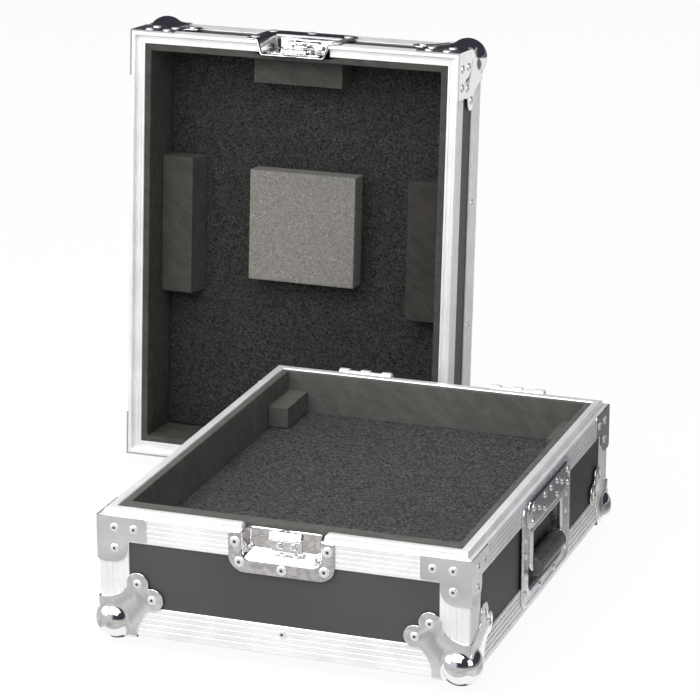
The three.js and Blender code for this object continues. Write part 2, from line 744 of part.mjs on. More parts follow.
// The corner blocks stand on the floor board, in notches of the pad
const blockFront = padRear - CORNER_BLOCK.length;
const cornerBlock = (left, spare) => box(
  [left - spare, blockFront - spare, LINING_OUT - spare],
  [left + CORNER_BLOCK.width + spare, padRear + spare, CORNER_BLOCK.top],
);
const rightBlockStart = padRight - CORNER_BLOCK.width;
base.add(piece(
  'base_floor_pad',
  box([padLeft, padFront, LINING_OUT], [padRight, padRear, BASE_PAD_TOP])
    .subtract(cornerBlock(padLeft, GAP))
    .subtract(cornerBlock(rightBlockStart, GAP)),
  'padFoam',
));
base.add(piece('base_corner_block_left', cornerBlock(padLeft, 0), 'foam'));
base.add(piece('base_corner_block_right', cornerBlock(rightBlockStart, 0), 'foam'));

// Lid, made open side up with its hinge side at -Y and its latch side at +Y

const lid = new THREE.Group();
const turned = (body) => body.rotate([0, 0, HALF_TURN_DEGREES]);

const lidPocket = buildLatchDish(
  LID_HEIGHT, DISH_LID_HEIGHT, RECESS_LID_HEIGHT, LID_HEIGHT - GAP,
);
const lidCut = turned(lidPocket.pocket);
const lidBoards = boards('lid', LID_HEIGHT, REBATE_DEPTH + BOARD_OUT);
lidBoards.lid_wall_plus_y = lidBoards.lid_wall_plus_y.subtract(lidCut);
for (const [name, body] of Object.entries(lidBoards)) {
  lid.add(piece(name, body, 'laminate'));
}
lid.add(piece(
  'lid_edge_frame', edgeFrame(LID_HEIGHT, LID_RIM_LEG).subtract(lidCut), 'aluminium',
));
lid.add(piece(
  'lid_rim_frame', mitredFrame(lidRimSection(LID_HEIGHT)).subtract(lidCut), 'aluminium',
));
const lidBrace = rimBrace(LID_HEIGHT);
const LID_CORNER_NAMES = ['hinge_left', 'hinge_right', 'latch_right', 'latch_left'];
LID_CORNER_NAMES.forEach((cornerName, corner) => {
  lid.add(piece(`lid_ball_corner_${cornerName}`, atCorner(cornerBody, corner), 'chrome'));
  lid.add(piece(`lid_rim_brace_${cornerName}`, atCorner(lidBrace, corner), 'steel'));
});
lid.add(piece('lid_latch_dish', turned(lidPocket.dish), 'chrome'));

// Latch mechanism on the floor of the lid dish, drawn on the side at -Y
const latchZ = LID_HEIGHT - LATCH_AXIS_DROP;
const layer = (inset) => inset - HALF_DEPTH;
const mountBack = RECESS_DEPTH - GAP;
const mountFront = mountBack - PLATE;
const railFront = mountFront - RAIL_HEIGHT;
const hookBack = railFront - GAP;
const hookFront = hookBack - HOOK_THICKNESS;
const rotorBack = hookFront - GAP;
const rotorFront = rotorBack - ROTOR_THICKNESS;
const wingBack = rotorFront - GAP;
const wingFront = wingBack - WING.thickness;

function plateAt(points, front, back) {
  return onFront(prism(points, back - front)).translate([0, layer(front), 0]);
}

// A round piece on the latch axis, between two depths
function stub(radius, front, back) {
  return cylinder(radius, back - front, 24)
    .translate([0, layer((front + back) / 2), latchZ]);
}

function block(left, right, front, back, low, high) {
  return box([left, layer(front), low], [right, layer(back), high]);
}

// Mount plate with its axle, two rails behind the hook and a guide beside it
function latchMount() {
  const { half, low, high, radius } = LATCH_MOUNT;
  let body = plateAt(
    roundedOutline(-half, latchZ - low, half, latchZ + high, [radius, radius, radius, radius]),
    mountFront, mountBack,
  ).add(stub(AXLE_RADIUS, rotorFront + GAP, mountBack));
  const guide = HOOK_WIDTH / 2 + GAP;
  for (const side of [-1, 1]) {
    const rail = block(-RAIL_WIDTH / 2, RAIL_WIDTH / 2, railFront, mountBack,
      latchZ - HOOK_TAIL, latchZ + high - radius);
    const wall = block(-GUIDE_WIDTH / 2, GUIDE_WIDTH / 2, hookFront, mountBack,
      latchZ - low + radius, latchZ + high - radius);
    body = body.add(rail.translate([side * RAIL_OFFSET, 0, 0]));
    body = body.add(wall.translate([side * (guide + GUIDE_WIDTH / 2), 0, 0]));
  }
  return body;
}

// Flat strap that slides on the rails. Its nose turns in behind the catch lip.
function latchHook() {
  const half = HOOK_WIDTH / 2;
  const end = latchZ + HOOK_REACH;
  const strap = plateAt(
    roundedOutline(-half, latchZ - HOOK_TAIL, half, end, [
      HOOK_RADIUS, HOOK_RADIUS, SMALL_RADIUS, SMALL_RADIUS,
    ]),
    hookFront, hookBack,
  );
  const nose = block(-half, half, hookFront, mountFront, end - HOOK_THICKNESS, end);
  const slotHalf = AXLE_RADIUS + GAP;
  const slot = plateAt(
    roundedOutline(-slotHalf, latchZ - HOOK_TRAVEL - slotHalf, slotHalf, latchZ + slotHalf,
      [SMALL_RADIUS, SMALL_RADIUS, SMALL_RADIUS, SMALL_RADIUS]),
    hookFront - GAP, hookBack + GAP,
  );
  return strap.add(nose).subtract(slot);
}

function latchRotor() {
  const bore = stub(AXLE_RADIUS + GAP, rotorFront - GAP, rotorBack + GAP);
  let body = stub(ROTOR_RADIUS, rotorFront, rotorBack).subtract(bore);
  for (const side of [-1, 1]) {
    const ear = block(-EAR.width / 2, EAR.width / 2, rotorFront - EAR.rise, rotorBack,
      latchZ - EAR.depth / 2, latchZ + EAR.depth / 2);
    body = body.add(ear.translate([side * EAR.offset, 0, 0]));
  }
  return body;
}

// Two lobes on one side of the fold line, with a round edge that turns in the ears
function latchWing() {
  const { length, lobe, drop, thickness, notch } = WING;
  const centre = length / 2 - lobe;
  const top = Math.asin(drop / lobe);
  const waist = QUARTER_TURN / 3;
  const outline = [
    ...arc(-centre, -drop, lobe, Math.PI - top, 2 * Math.PI - waist, 8),
    ...arc(centre, -drop, lobe, Math.PI + waist, 2 * Math.PI + top, 8),
  ].map(([a, b]) => [a, b + latchZ]);
  const straight = 2 * (centre + lobe * Math.cos(top)) - GAP;
  const knuckle = cylinder(thickness / 2, straight, 12)
    .rotate([0, 0, RIGHT_ANGLE_DEGREES])
    .translate([0, layer((wingFront + wingBack) / 2), latchZ]);
  let body = plateAt(outline, wingFront, wingBack).add(knuckle);
  for (const side of [-1, 1]) {
    const half = EAR.width / 2 + GAP;
    const cut = block(-half, half, wingFront - thickness, wingBack + GAP / 2,
      latchZ - notch, latchZ + notch);
    body = body.subtract(cut.translate([side * EAR.offset, 0, 0]));
  }
  return body;
}

lid.add(piece('lid_latch_mount', turned(latchMount()), 'steel'));
lid.add(piece('lid_latch_hook', turned(latchHook()), 'steel'));
lid.add(piece('lid_latch_rotor', turned(latchRotor()), 'chrome'));
lid.add(piece('lid_latch_wing', turned(latchWing()), 'chrome'));

const lidHinge = turned(hingeHalf(LID_HEIGHT, 1, KNUCKLE_RADIUS)
  .subtract(hingeRod(LID_HEIGHT, HINGE_ROD_RADIUS + GAP, HINGE_WIDTH)));
lid.add(piece('lid_hinge_left', lidHinge.translate([-HINGE_OFFSET, 0, 0]), 'steel'));
lid.add(piece('lid_hinge_right', lidHinge.translate([HINGE_OFFSET, 0, 0]), 'steel'));

const lidLining = lining(
  { left: LINING_SIDE, right: LINING_SIDE, minusY: LINING_SIDE, plusY: LINING_SIDE },
  LINING_OUT, LID_HEIGHT - REBATE_DEPTH - LIP_LEG - GAP, LID_HEIGHT - REBATE_DEPTH + GAP,
).subtract(lidCut);
lid.add(piece('lid_foam_lining', lidLining, 'foam'));

const lidLeft = LINING_SIDE + GAP - HALF_WIDTH;
const lidLow = LINING_SIDE + GAP - HALF_DEPTH;
lid.add(piece(
  'lid_face_pad', box([lidLeft, lidLow, LINING_OUT], [-lidLeft, -lidLow, LID_PAD_TOP]), 'padFoam',
));
const blockLow = LID_PAD_TOP + GAP;
const leftBlock = prism([
  [lidLeft, blockLow],
  [lidLeft + LID_LEFT_BLOCK.footWidth, blockLow],
  [lidLeft + LID_LEFT_BLOCK.width, LID_BLOCK_TOP],
  [lidLeft, LID_BLOCK_TOP],
], LID_LEFT_BLOCK.length)
  .rotate([RIGHT_ANGLE_DEGREES, 0, 0])
  .translate([0, LID_LEFT_BLOCK.rise + LID_LEFT_BLOCK.length / 2, 0]);
lid.add(piece('lid_block_left', leftBlock, 'foam'));
const rightMiddle = LID_RIGHT_BLOCK.rise;
const rightHalf = LID_RIGHT_BLOCK.length / 2;
lid.add(piece('lid_block_right', box(
  [-lidLeft - LID_RIGHT_BLOCK.width, rightMiddle - rightHalf, blockLow],
  [-lidLeft, rightMiddle + rightHalf, LID_BLOCK_TOP],
), 'foam'));
const topHalf = LID_TOP_BLOCK.width / 2;
lid.add(piece('lid_block_latch_side', box(
  [LID_TOP_BLOCK.shift - topHalf, -lidLow - LID_TOP_BLOCK.hang, blockLow],
  [LID_TOP_BLOCK.shift + topHalf, -lidLow, LID_TOP_BLOCK.top],
), 'foam'));
const centreHalf = LID_CENTRE_BLOCK.size / 2;
const centreMiddle = LID_CENTRE_BLOCK.rise;
lid.add(piece('lid_block_centre', box(
  [-centreHalf, centreMiddle - centreHalf, blockLow],
  [centreHalf, centreMiddle + centreHalf, LID_BLOCK_TOP],
), 'greyFoam'));

// Stand the lid up: its rim edge at the hinge side comes to its place behind the base
lid.rotation.x = LID_TURN;
const rimEdge = new THREE.Vector3(0, -HALF_DEPTH, LID_HEIGHT)
  .applyAxisAngle(new THREE.Vector3(1, 0, 0), LID_TURN);
lid.position.set(
  LID_OFFSET_X,
  HALF_DEPTH + LID_BEHIND_BASE - rimEdge.y,
  LID_STAND - rimEdge.z,
);

// Both halves together, centred on their common footprint

const mixerCase = new THREE.Group();
mixerCase.add(base, lid);
mixerCase.updateMatrixWorld(true);
const bounds = new THREE.Box3().setFromObject(mixerCase, true);
mixerCase.position.x = -(bounds.min.x + bounds.max.x) / 2;
mixerCase.position.y = -(bounds.min.y + bounds.max.y) / 2;
mixerCase.updateMatrixWorld(true);

export default mixerCase;
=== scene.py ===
"""Looks of the mixer flight case: extrusions, pressed hardware, rivets, foam and finishes."""

import json
import math

import bmesh
import bpy
import numpy as np
from mathutils import Matrix, Vector

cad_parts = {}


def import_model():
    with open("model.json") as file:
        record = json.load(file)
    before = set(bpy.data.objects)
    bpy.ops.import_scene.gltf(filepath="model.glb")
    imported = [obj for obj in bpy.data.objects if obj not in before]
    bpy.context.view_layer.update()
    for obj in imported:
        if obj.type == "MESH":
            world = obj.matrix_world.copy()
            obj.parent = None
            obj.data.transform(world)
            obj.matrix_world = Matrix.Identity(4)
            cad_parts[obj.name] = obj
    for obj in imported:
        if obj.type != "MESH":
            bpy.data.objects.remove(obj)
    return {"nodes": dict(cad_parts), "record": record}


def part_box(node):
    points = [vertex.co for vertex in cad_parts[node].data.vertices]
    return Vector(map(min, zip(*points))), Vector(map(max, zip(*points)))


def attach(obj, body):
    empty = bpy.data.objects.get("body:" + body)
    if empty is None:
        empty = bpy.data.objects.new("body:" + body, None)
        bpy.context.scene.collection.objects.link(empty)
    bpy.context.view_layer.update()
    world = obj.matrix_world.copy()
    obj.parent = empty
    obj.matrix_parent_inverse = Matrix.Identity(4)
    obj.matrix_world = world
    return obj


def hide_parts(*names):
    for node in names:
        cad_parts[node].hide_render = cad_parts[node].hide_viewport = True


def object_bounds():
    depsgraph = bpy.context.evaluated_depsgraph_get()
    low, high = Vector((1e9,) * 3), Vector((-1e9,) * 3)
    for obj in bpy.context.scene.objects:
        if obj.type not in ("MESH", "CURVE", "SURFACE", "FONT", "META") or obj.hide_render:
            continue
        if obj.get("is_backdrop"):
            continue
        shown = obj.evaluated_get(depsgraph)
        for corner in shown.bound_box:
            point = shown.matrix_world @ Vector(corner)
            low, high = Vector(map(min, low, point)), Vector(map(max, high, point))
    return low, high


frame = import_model()
cad_low, cad_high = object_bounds()

MM = 0.001

# Sizes of the case in millimetres, as in the part itself. The tables of outlines
# and rows further on are drawn places, in millimetres too.

CASE_X, CASE_Y = 380.0, 483.0
HALF_X, HALF_Y = CASE_X / 2, CASE_Y / 2
BASE_HEIGHT, LID_HEIGHT = 123.0, 85.0
FACE_INSET = 1.8            # of the closed face behind the edge angles
TONGUE, REBATE = 6.0, 6.3   # of the two rims
BASE_RIM_LEG, LID_RIM_LEG = 26.0, 22.0
LEG, EXTRUDED = 31.0, 1.5   # leg and wall of the edge angles
MOUTH_HALF = 41.6           # half of the cut in each rim, at the latch
GAP = 0.3                   # air between the case and what is riveted to it
PLATE, PRESSED_SHEET = 1.2, 1.0
LID_LEAN = math.radians(4.6)
LID_TURN = math.pi / 2 - LID_LEAN
LID_SHIFT_X, LID_BEHIND = -186.5, 10.5
DOME_CENTRE, DOME_RADIUS = 12.6, 21.4
HANDLE_Y = 247 - HALF_Y
HANDLE_CUT_HALF, HANDLE_CUT_TOP = 60.5, 19.5

WELD, SLIVER = 2e-6, 1e-6   # metres: points closer than this are one

# Both halves have a frame of their own: x and y from the middle of the half, z
# up from its closed face. The base stands as it is, the lid is turned on edge.

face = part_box("base_face_panel")
BASE_ORIGIN = np.array([
    (face[0][0] + face[1][0]) / 2,
    (face[0][1] + face[1][1]) / 2,
    face[0][2] - FACE_INSET * MM,
]) / MM
LID_STAND = (DOME_RADIUS - DOME_CENTRE * math.sin(LID_TURN)
             + (LID_HEIGHT - DOME_CENTRE) * math.cos(LID_TURN))
LID_TILT = np.array([
    [1, 0, 0],
    [0, math.cos(LID_TURN), -math.sin(LID_TURN)],
    [0, math.sin(LID_TURN), math.cos(LID_TURN)],
])
LID_ORIGIN = np.array([
    BASE_ORIGIN[0] + LID_SHIFT_X,
    BASE_ORIGIN[1] + HALF_Y + LID_BEHIND,
    LID_STAND,
]) - LID_TILT @ np.array([0, -HALF_Y, LID_HEIGHT])


def in_base(points):
    """Base half to the shared frame: a shift."""
    return points + BASE_ORIGIN


def in_lid(points):
    """Lid half to the shared frame: a turn about x, then a shift."""
    return points @ LID_TILT.T + LID_ORIGIN


def spun(points, quarter_turns):
    """Turns points about z by whole quarter turns."""
    angle = quarter_turns * math.pi / 2
    c, s = round(math.cos(angle)), round(math.sin(angle))
    return points @ np.array([[c, -s, 0], [s, c, 0], [0, 0, 1]]).T


# Meshes: a shape is a list of (points, faces) parts


def grid(points, wrap_rows=False, wrap_columns=False, cap_rows=False, cap_columns=False):
    """Quads between neighbours of a rows x columns x 3 array; caps close its ends."""
    rows, columns = points.shape[:2]
    r = np.arange(rows if wrap_rows else rows - 1)
    c = np.arange(columns if wrap_columns else columns - 1)
    r0, c0 = np.meshgrid(r, c, indexing="ij")
    r1, c1 = (r0 + 1) % rows, (c0 + 1) % columns
    quads = np.stack([r0 * columns + c0, r1 * columns + c0,
                      r1 * columns + c1, r0 * columns + c1], -1).reshape(-1, 4)
    faces = quads.tolist()
    if cap_rows:
        faces.append(np.arange(columns).tolist())
        faces.append((np.arange(columns) + (rows - 1) * columns).tolist())
    if cap_columns:
        faces.append((np.arange(rows) * columns).tolist())
        faces.append((np.arange(rows) * columns + columns - 1).tolist())
    return points.reshape(-1, 3), faces


def moved(part, change):
    """The same faces on changed points."""
    return change(part[0]), part[1]


def in_scene(name, data):
    """An object of the data, linked to the scene."""
    made = bpy.data.objects.new(name, data)
    bpy.context.scene.collection.objects.link(made)
    return made


def piece(name, parts, place, body, finish, slot, smooth=35, node=None, second=None):
    """One object from (points, faces) parts in millimetres, which place carries to the
    shared frame. A third item of a part is its material's number, and second is
    material 1."""
    points, faces, marks, start = [], [], [], 0
    for part in parts:
        points.append(place(part[0]))
        faces += [[i + start for i in f] for f in part[1]]
        marks += [part[2] if len(part) > 2 else 0] * len(part[1])
        start += len(part[0])
    mesh = bpy.data.meshes.new(name)
    mesh.from_pydata((np.concatenate(points) * MM).tolist(), [], faces)
    mesh.materials.append(finish)
    if second is not None:
        mesh.materials.append(second)
        mesh.polygons.foreach_set("material_index", marks)
    shape = bmesh.new()
    shape.from_mesh(mesh)
    bmesh.ops.remove_doubles(shape, verts=shape.verts, dist=WELD)
    bmesh.ops.dissolve_degenerate(shape, edges=shape.edges, dist=SLIVER)
    bmesh.ops.recalc_face_normals(shape, faces=shape.faces)
    shape.to_mesh(mesh)
    shape.free()
    mesh.shade_smooth()
    mesh.set_sharp_from_angle(angle=math.radians(smooth))
    made = in_scene(name, mesh)
    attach(made, body)
    if node:
        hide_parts(*node)
    return made


def arc(centre, radius, start, stop, count):
    """Points of a circular arc in the plane, angles in degrees, ends included."""
    angle = np.radians(np.linspace(start, stop, count))
    return np.stack([centre[0] + radius * np.cos(angle),
                     centre[1] + radius * np.sin(angle)], -1)


def edge_normals(outline):
    """Outward unit normals of a closed outline that runs anticlockwise."""
    along = np.roll(outline, -1, 0) - np.roll(outline, 1, 0)
    normal = np.stack([along[:, 1], -along[:, 0]], -1)
    return normal / np.linalg.norm(normal, axis=1, keepdims=True)


def at_depth(curve, out):
    """A flat curve of (across, up) rows at one depth out."""
    return np.column_stack([curve, np.full(len(curve), out)])


def layered(curves, depths):
    """Flat curves, each at a depth of its own, as the rows of a grid."""
    return np.stack([at_depth(curve, out) for curve, out in zip(curves, depths)])


def sheet_plate(outline, thickness, roll):
    """A flat plate: the outline is carried up its edge and over a quarter-round of
    radius roll onto the top, where an inset copy of it closes the face."""
    normal = edge_normals(outline)
    turn = np.radians(np.linspace(0, 90, 4))
    inset = np.concatenate([[0.0], roll * (1 - np.cos(turn))])
    height = np.concatenate([[0.0], thickness - roll + roll * np.sin(turn)])
    rings = outline[None] - normal[None] * inset[:, None, None]
    return grid(layered(rings, height), wrap_columns=True, cap_rows=True)


def turned_round(profile, count):
    """A profile of (radius, height) rows turned round the z axis."""
    angle = np.linspace(0, 2 * math.pi, count, endpoint=False)
    r, z = profile[:, 0][:, None], profile[:, 1][:, None]
    return grid(np.stack([r * np.cos(angle), r * np.sin(angle), z + 0 * angle], -1),
                wrap_columns=True)


def rounded_rectangle(half_x, low, high, radius, count=7):
    """Closed anticlockwise outline of a rectangle with round corners."""
    rx, ry = half_x - radius, radius
    return np.concatenate([
        arc((rx, low + ry), radius, -90, 0, count), arc((rx, high - ry), radius, 0, 90, count),
        arc((-rx, high - ry), radius, 90, 180, count),
        arc((-rx, low + ry), radius, 180, 270, count),
    ])


# Where a flat drawing of a face goes. Drawings are (across, up, out) in mm, with
# out measured from the outer face of the case.


def on_front(p):
    """Out is -y."""
    return np.stack([p[..., 0], -HALF_Y - p[..., 2], p[..., 1]], -1)


def on_rear(p):
    """Out is y, and across is turned about, as seen from behind."""
    return np.stack([-p[..., 0], HALF_Y + p[..., 2], p[..., 1]], -1)


def on_right(p):
    """Out is x, and across is y."""
    return np.stack([HALF_X + p[..., 2], p[..., 0], p[..., 1]], -1)


def on_left(p):
    """Out is -x, and across is -y."""
    return np.stack([-HALF_X - p[..., 2], -p[..., 0], p[..., 1]], -1)


def on_closed(p):
    """Out is -z, below the closed face."""
    return np.stack([-p[..., 0], p[..., 1], -p[..., 2]], -1)


def on_base_front(p):
    """A drawing of the front face, in the shared frame."""
    return in_base(on_front(p))


# Finishes

NUMBER = "NodeSocketFloat"


def shade_of(colour, factor=1.0, lift=0.0):
    """A colour times a factor, or a factor for each channel, plus a lift; opaque."""
    factors = factor if isinstance(factor, tuple) else (factor,) * 3
    return [c * f + lift for c, f in zip(colour, factors)] + [1.0]


class Nodes:
    """Places nodes in a tree and joins them."""

    def __init__(self, tree):
        self.tree = tree

    def give(self, value, socket):
        """Links an output to a socket, or sets a plain value on it."""
        if hasattr(value, "is_linked"):
            self.tree.links.new(value, socket)
        else:
            socket.default_value = value

    def add(self, kind, inputs=None, **settings):
        """A node with its settings, then its inputs."""
        node = self.tree.nodes.new(kind)
        for key, value in settings.items():
            setattr(node, key, value)
        for key, value in (inputs or {}).items():
            self.give(value, node.inputs[key])
        return node

    def place(self):
        """The place on the piece, in metres of the shared frame."""
        return self.add("ShaderNodeTexCoord").outputs["Object"]

    def math(self, operation, a, b=0.0, c=0.0):
        """One operation on numbers."""
        return self.add("ShaderNodeMath", operation=operation,
                        inputs={0: a, 1: b, 2: c}).outputs[0]

    def times(self, a, b):
        """a * b."""
        return self.math("MULTIPLY", a, b)

    def line(self, value, slope, start):
        """start + slope * value."""
        return self.math("MULTIPLY_ADD", value, slope, start)

    def ramp(self, value, low, high):
        """0 up to low, 1 from high on, smooth between."""
        return self.add("ShaderNodeMapRange", interpolation_type="SMOOTHSTEP",
                        inputs={"Value": value, "From Min": low, "From Max": high}).outputs[0]

    def noise(self, vector, scale, detail=2.0, roughness=0.5, output="Fac"):
        """Clouds from 0 to 1, about scale of them to the metre."""
        return self.add("ShaderNodeTexNoise", inputs={
            "Vector": vector, "Scale": scale, "Detail": detail, "Roughness": roughness,
        }).outputs[output]

    def mix(self, factor, a, b):
        """Colour a where factor is 0, colour b where it is 1."""
        return self.add("ShaderNodeMix", data_type="RGBA",
                        inputs={0: factor, 6: a, 7: b}).outputs[2]

    def split(self, vector):
        """x, y and z of a vector."""
        return self.add("ShaderNodeSeparateXYZ", inputs={0: vector}).outputs

    def joined(self, x, y, z):
        """A vector of x, y and z."""
        return self.add("ShaderNodeCombineXYZ", inputs={0: x, 1: y, 2: z}).outputs[0]

    def vector(self, operation, a, b, c=(0, 0, 0), output="Vector"):
        """One operation on vectors."""
        return self.add("ShaderNodeVectorMath", operation=operation,
                        inputs={0: a, 1: b, 2: c}).outputs[output]


def effect(name, inputs, outputs):
    """A node group with number inputs, given with their usual values, and number
    outputs. It reads the place on the piece by itself."""
    group = bpy.data.node_groups.new(name, "ShaderNodeTree")
    for socket, value in inputs.items():
        made = group.interface.new_socket(name=socket, in_out="INPUT", socket_type=NUMBER)
        made.default_value = value
    for socket in outputs:
        group.interface.new_socket(name=socket, in_out="OUTPUT", socket_type=NUMBER)
    n = Nodes(group)
    read = n.add("NodeGroupInput").outputs
    write = n.add("NodeGroupOutput").inputs
    return n, read, write, n.place()


def handling_wear():
    """Cloudy haze and fine scuffs left by handling: two noises of different size, each
    drawn out to the full range."""
    n, read, write, place = effect(
        "handling wear", {"Cloud Size": 30.0, "Scuff Size": 260.0}, ["Cloud", "Scuffs"])
    cloud = n.noise(place, read["Cloud Size"], detail=4.0, roughness=0.6)
    scuff = n.noise(place, read["Scuff Size"], detail=3.0, roughness=0.7)
    n.give(n.ramp(cloud, 0.3, 0.72), write["Cloud"])
    n.give(n.ramp(scuff, 0.35, 0.8), write["Scuffs"])
    return n.tree


def cell_specks():
    """Open foam cells seen as grain: cells of light skin and dark hollow, with single
    bright specks in the middle of a few cells, in slow patches of tone."""
    n, read, write, place = effect(
        "foam cells", {"Cell Size": 400.0, "Speck Share": 0.6}, ["Grain", "Specks", "Patches"])
    coarse = n.noise(place, read["Cell Size"], detail=3.0, roughness=0.8)
    cells = n.add("ShaderNodeTexVoronoi", feature="F1", inputs={
        "Vector": place, "Scale": n.times(read["Cell Size"], 1.3)}).outputs
    lone = n.add("ShaderNodeSeparateColor", inputs={0: cells["Color"]}).outputs[0]
    grain = n.line(lone, 0.45, n.times(n.ramp(coarse, 0.36, 0.64), 0.55))
    spot = n.ramp(cells["Distance"], 0.45, 0.15)
    bright = n.ramp(lone, read["Speck Share"], n.math("ADD", read["Speck Share"], 0.04))
    patches = n.noise(place, scale=14.0, detail=3.0, roughness=0.55)
    n.give(grain, write["Grain"])
    n.give(n.times(spot, bright), write["Specks"])
    n.give(n.ramp(patches, 0.32, 0.7), write["Patches"])
    return n.tree


def saw_marks():
    """Slanted streaks and rubbed places on cut foam walls: a noise drawn out along one
    slanted direction, and a coarse noise."""
    n, read, write, place = effect(
        "saw marks", {"Streak Length": 9.0, "Rub Size": 26.0}, ["Streaks", "Rubbed"])
    across = 110.0
    slanted = n.split(n.add("ShaderNodeMapping", vector_type="TEXTURE", inputs={
        "Vector": place, "Rotation": (0.5, 0.6, 0.4)}).outputs[0])
    drawn = n.joined(n.times(slanted[0], read["Streak Length"]),
                     n.times(slanted[1], across), n.times(slanted[2], across))
    streaks = n.noise(drawn, scale=1.0, detail=4.0, roughness=0.65)
    rubs = n.noise(place, read["Rub Size"], detail=5.0, roughness=0.75)
    n.give(n.ramp(streaks, 0.3, 0.7), write["Streaks"])
    n.give(n.ramp(rubs, 0.52, 0.74), write["Rubbed"])
    return n.tree


def painted_reflection_bands():
    """Painted reflections of bright pressed steel: cloudy bands where a bent noise passes
    its middle, and the warm or cold cast of the painted reflection at each place."""
    n, read, write, place = effect(
        "painted reflection bands", {"Wave Size": 60.0, "Bend": 0.03}, ["Waves", "Cast"])
    bend = n.noise(place, n.times(read["Wave Size"], 0.8), detail=3.0, roughness=0.6,
                   output="Color")
    bent = n.vector("MULTIPLY_ADD", bend,
                    n.joined(read["Bend"], read["Bend"], read["Bend"]), place)
    drawn = n.noise(bent, n.times(read["Wave Size"], 2.2), detail=2.0, roughness=0.5)
    cast = n.noise(place, read["Wave Size"], detail=2.0, roughness=0.5)
    fold = n.math("ABSOLUTE", n.math("SUBTRACT", drawn, 0.5))
    n.give(n.ramp(fold, 0.0, 0.10), write["Waves"])
    n.give(n.ramp(cast, 0.38, 0.62), write["Cast"])
    return n.tree


WEAR = handling_wear()
PAINTED_REFLECTION_BANDS = painted_reflection_bands()
CELLS = cell_specks()
MARKS = saw_marks()


def emptied(owner):
    """The node tree of a material or world, with nothing in it yet."""
    owner.use_nodes = True
    owner.node_tree.nodes.clear()
    return Nodes(owner.node_tree)


def material(name, metallic, specular=0.5):
    """A finish with its shader."""
    made = bpy.data.materials.new(name)
    n = emptied(made)
    shader = n.add("ShaderNodeBsdfPrincipled", inputs={
        "Metallic": metallic, "Specular IOR Level": specular})
    n.add("ShaderNodeOutputMaterial", inputs={0: shader.outputs[0]})
    return made, n, shader


def use(n, group, **inputs):
    """An effect in a finish, with values of its own."""
    node = n.add("ShaderNodeGroup", node_tree=group)
    for key, value in inputs.items():
        node.inputs[key.replace("_", " ")].default_value = value
    return node.outputs


def join_up(n, shader, tint, rough, height, strength, depth):
    """Colour, roughness and relief of a finish; depth of the relief is in metres."""
    n.give(tint, shader.inputs["Base Color"])
    n.give(rough, shader.inputs["Roughness"])
    relief = n.add("ShaderNodeBump", inputs={
        "Height": height, "Strength": strength, "Distance": depth})
    n.give(relief.outputs[0], shader.inputs["Normal"])


# warm and cold casts of the painted reflections in pressed steel
REFLECTED_WARM, REFLECTED_COLD = (0.62, 0.56, 0.50), (0.50, 0.53, 0.60)


def metal(name, colour, roughness, metallic=1.0, spread=0.05, dent=0.0, dent_size=60.0,
          dark=0.75, waves=0.0):
    """Plated metal: haze moves its colour towards dark times it, and haze and scuffs
    add up to spread to its roughness; dent gives pressed sheet its slow waves, and
    waves the strength of the painted reflection bands in its colour."""
    made, n, shader = material(name, metallic)
    wear = use(n, WEAR, Cloud_Size=34.0, Scuff_Size=420.0)
    tint = n.mix(n.times(wear["Cloud"], 0.35), shade_of(colour), shade_of(colour, dark))
    # painted reflections: dark wavy bands of warm or cold reflected colour in the tint
    if waves:
        bands = use(n, PAINTED_REFLECTION_BANDS, Wave_Size=dent_size, Bend=0.02)
        cast = n.mix(bands["Cast"], shade_of(colour, REFLECTED_WARM), shade_of(colour, REFLECTED_COLD))
        tint = n.mix(n.line(bands["Waves"], -waves, waves), tint, cast)
    rough = n.line(wear["Scuffs"], spread, roughness)
    rough = n.line(wear["Cloud"], spread * 0.8, rough)
    height = n.times(wear["Scuffs"], 0.06)
    if dent:
        height = n.line(n.noise(n.place(), dent_size), dent, height)
    join_up(n, shader, tint, rough, height, strength=0.5, depth=0.0006)
    return made


def satin_aluminium():
    """Satin anodised aluminium, partly metallic: a haze of two greys, and fine scuffs."""
    made, n, shader = material("satin aluminium", metallic=0.42)
    wear = use(n, WEAR, Cloud_Size=22.0, Scuff_Size=600.0)
    tint = n.mix(wear["Cloud"], (0.86, 0.86, 0.865, 1), (0.75, 0.75, 0.75, 1))
    rough = n.line(wear["Scuffs"], 0.12, 0.33)
    join_up(n, shader, tint, rough, n.times(wear["Scuffs"], 0.05), strength=0.4, depth=0.0004)
    return made


def laminate():
    """Matt black laminate with a fine pressed grain."""
    made, n, shader = material("black laminate", metallic=0.0, specular=0.65)
    wear = use(n, WEAR, Cloud_Size=9.0, Scuff_Size=300.0)
    grain = n.noise(n.place(), scale=1500.0, detail=2.0, roughness=0.6)
    tint = n.mix(wear["Cloud"], (0.050, 0.048, 0.049, 1), (0.040, 0.038, 0.040, 1))
    join_up(n, shader, tint, n.line(grain, 0.16, 0.42), grain, strength=0.35, depth=0.0002)
    return made


def foam(name, colour, cell_size, contrast, speck_share, speck, depth):
    """Open-cell foam: grain between a dark and a light tone of the colour, single
    bright specks, slow patches, and a grainy surface."""
    made, n, shader = material(name, metallic=0.0, specular=0.12)
    look = use(n, CELLS, Cell_Size=cell_size, Speck_Share=speck_share)
    light = tuple((1 + contrast) * warm for warm in (1.03, 1.0, 0.97))
    tint = n.mix(look["Grain"], shade_of(colour, 1 - contrast), shade_of(colour, light))
    tint = n.mix(n.times(look["Patches"], 0.25), tint, shade_of(colour, 0.7))
    tint = n.mix(look["Specks"], tint, shade_of(speck))
    rough = n.line(look["Specks"], -0.3, 0.95)
    join_up(n, shader, tint, rough, look["Grain"], strength=0.7, depth=depth)
    return made


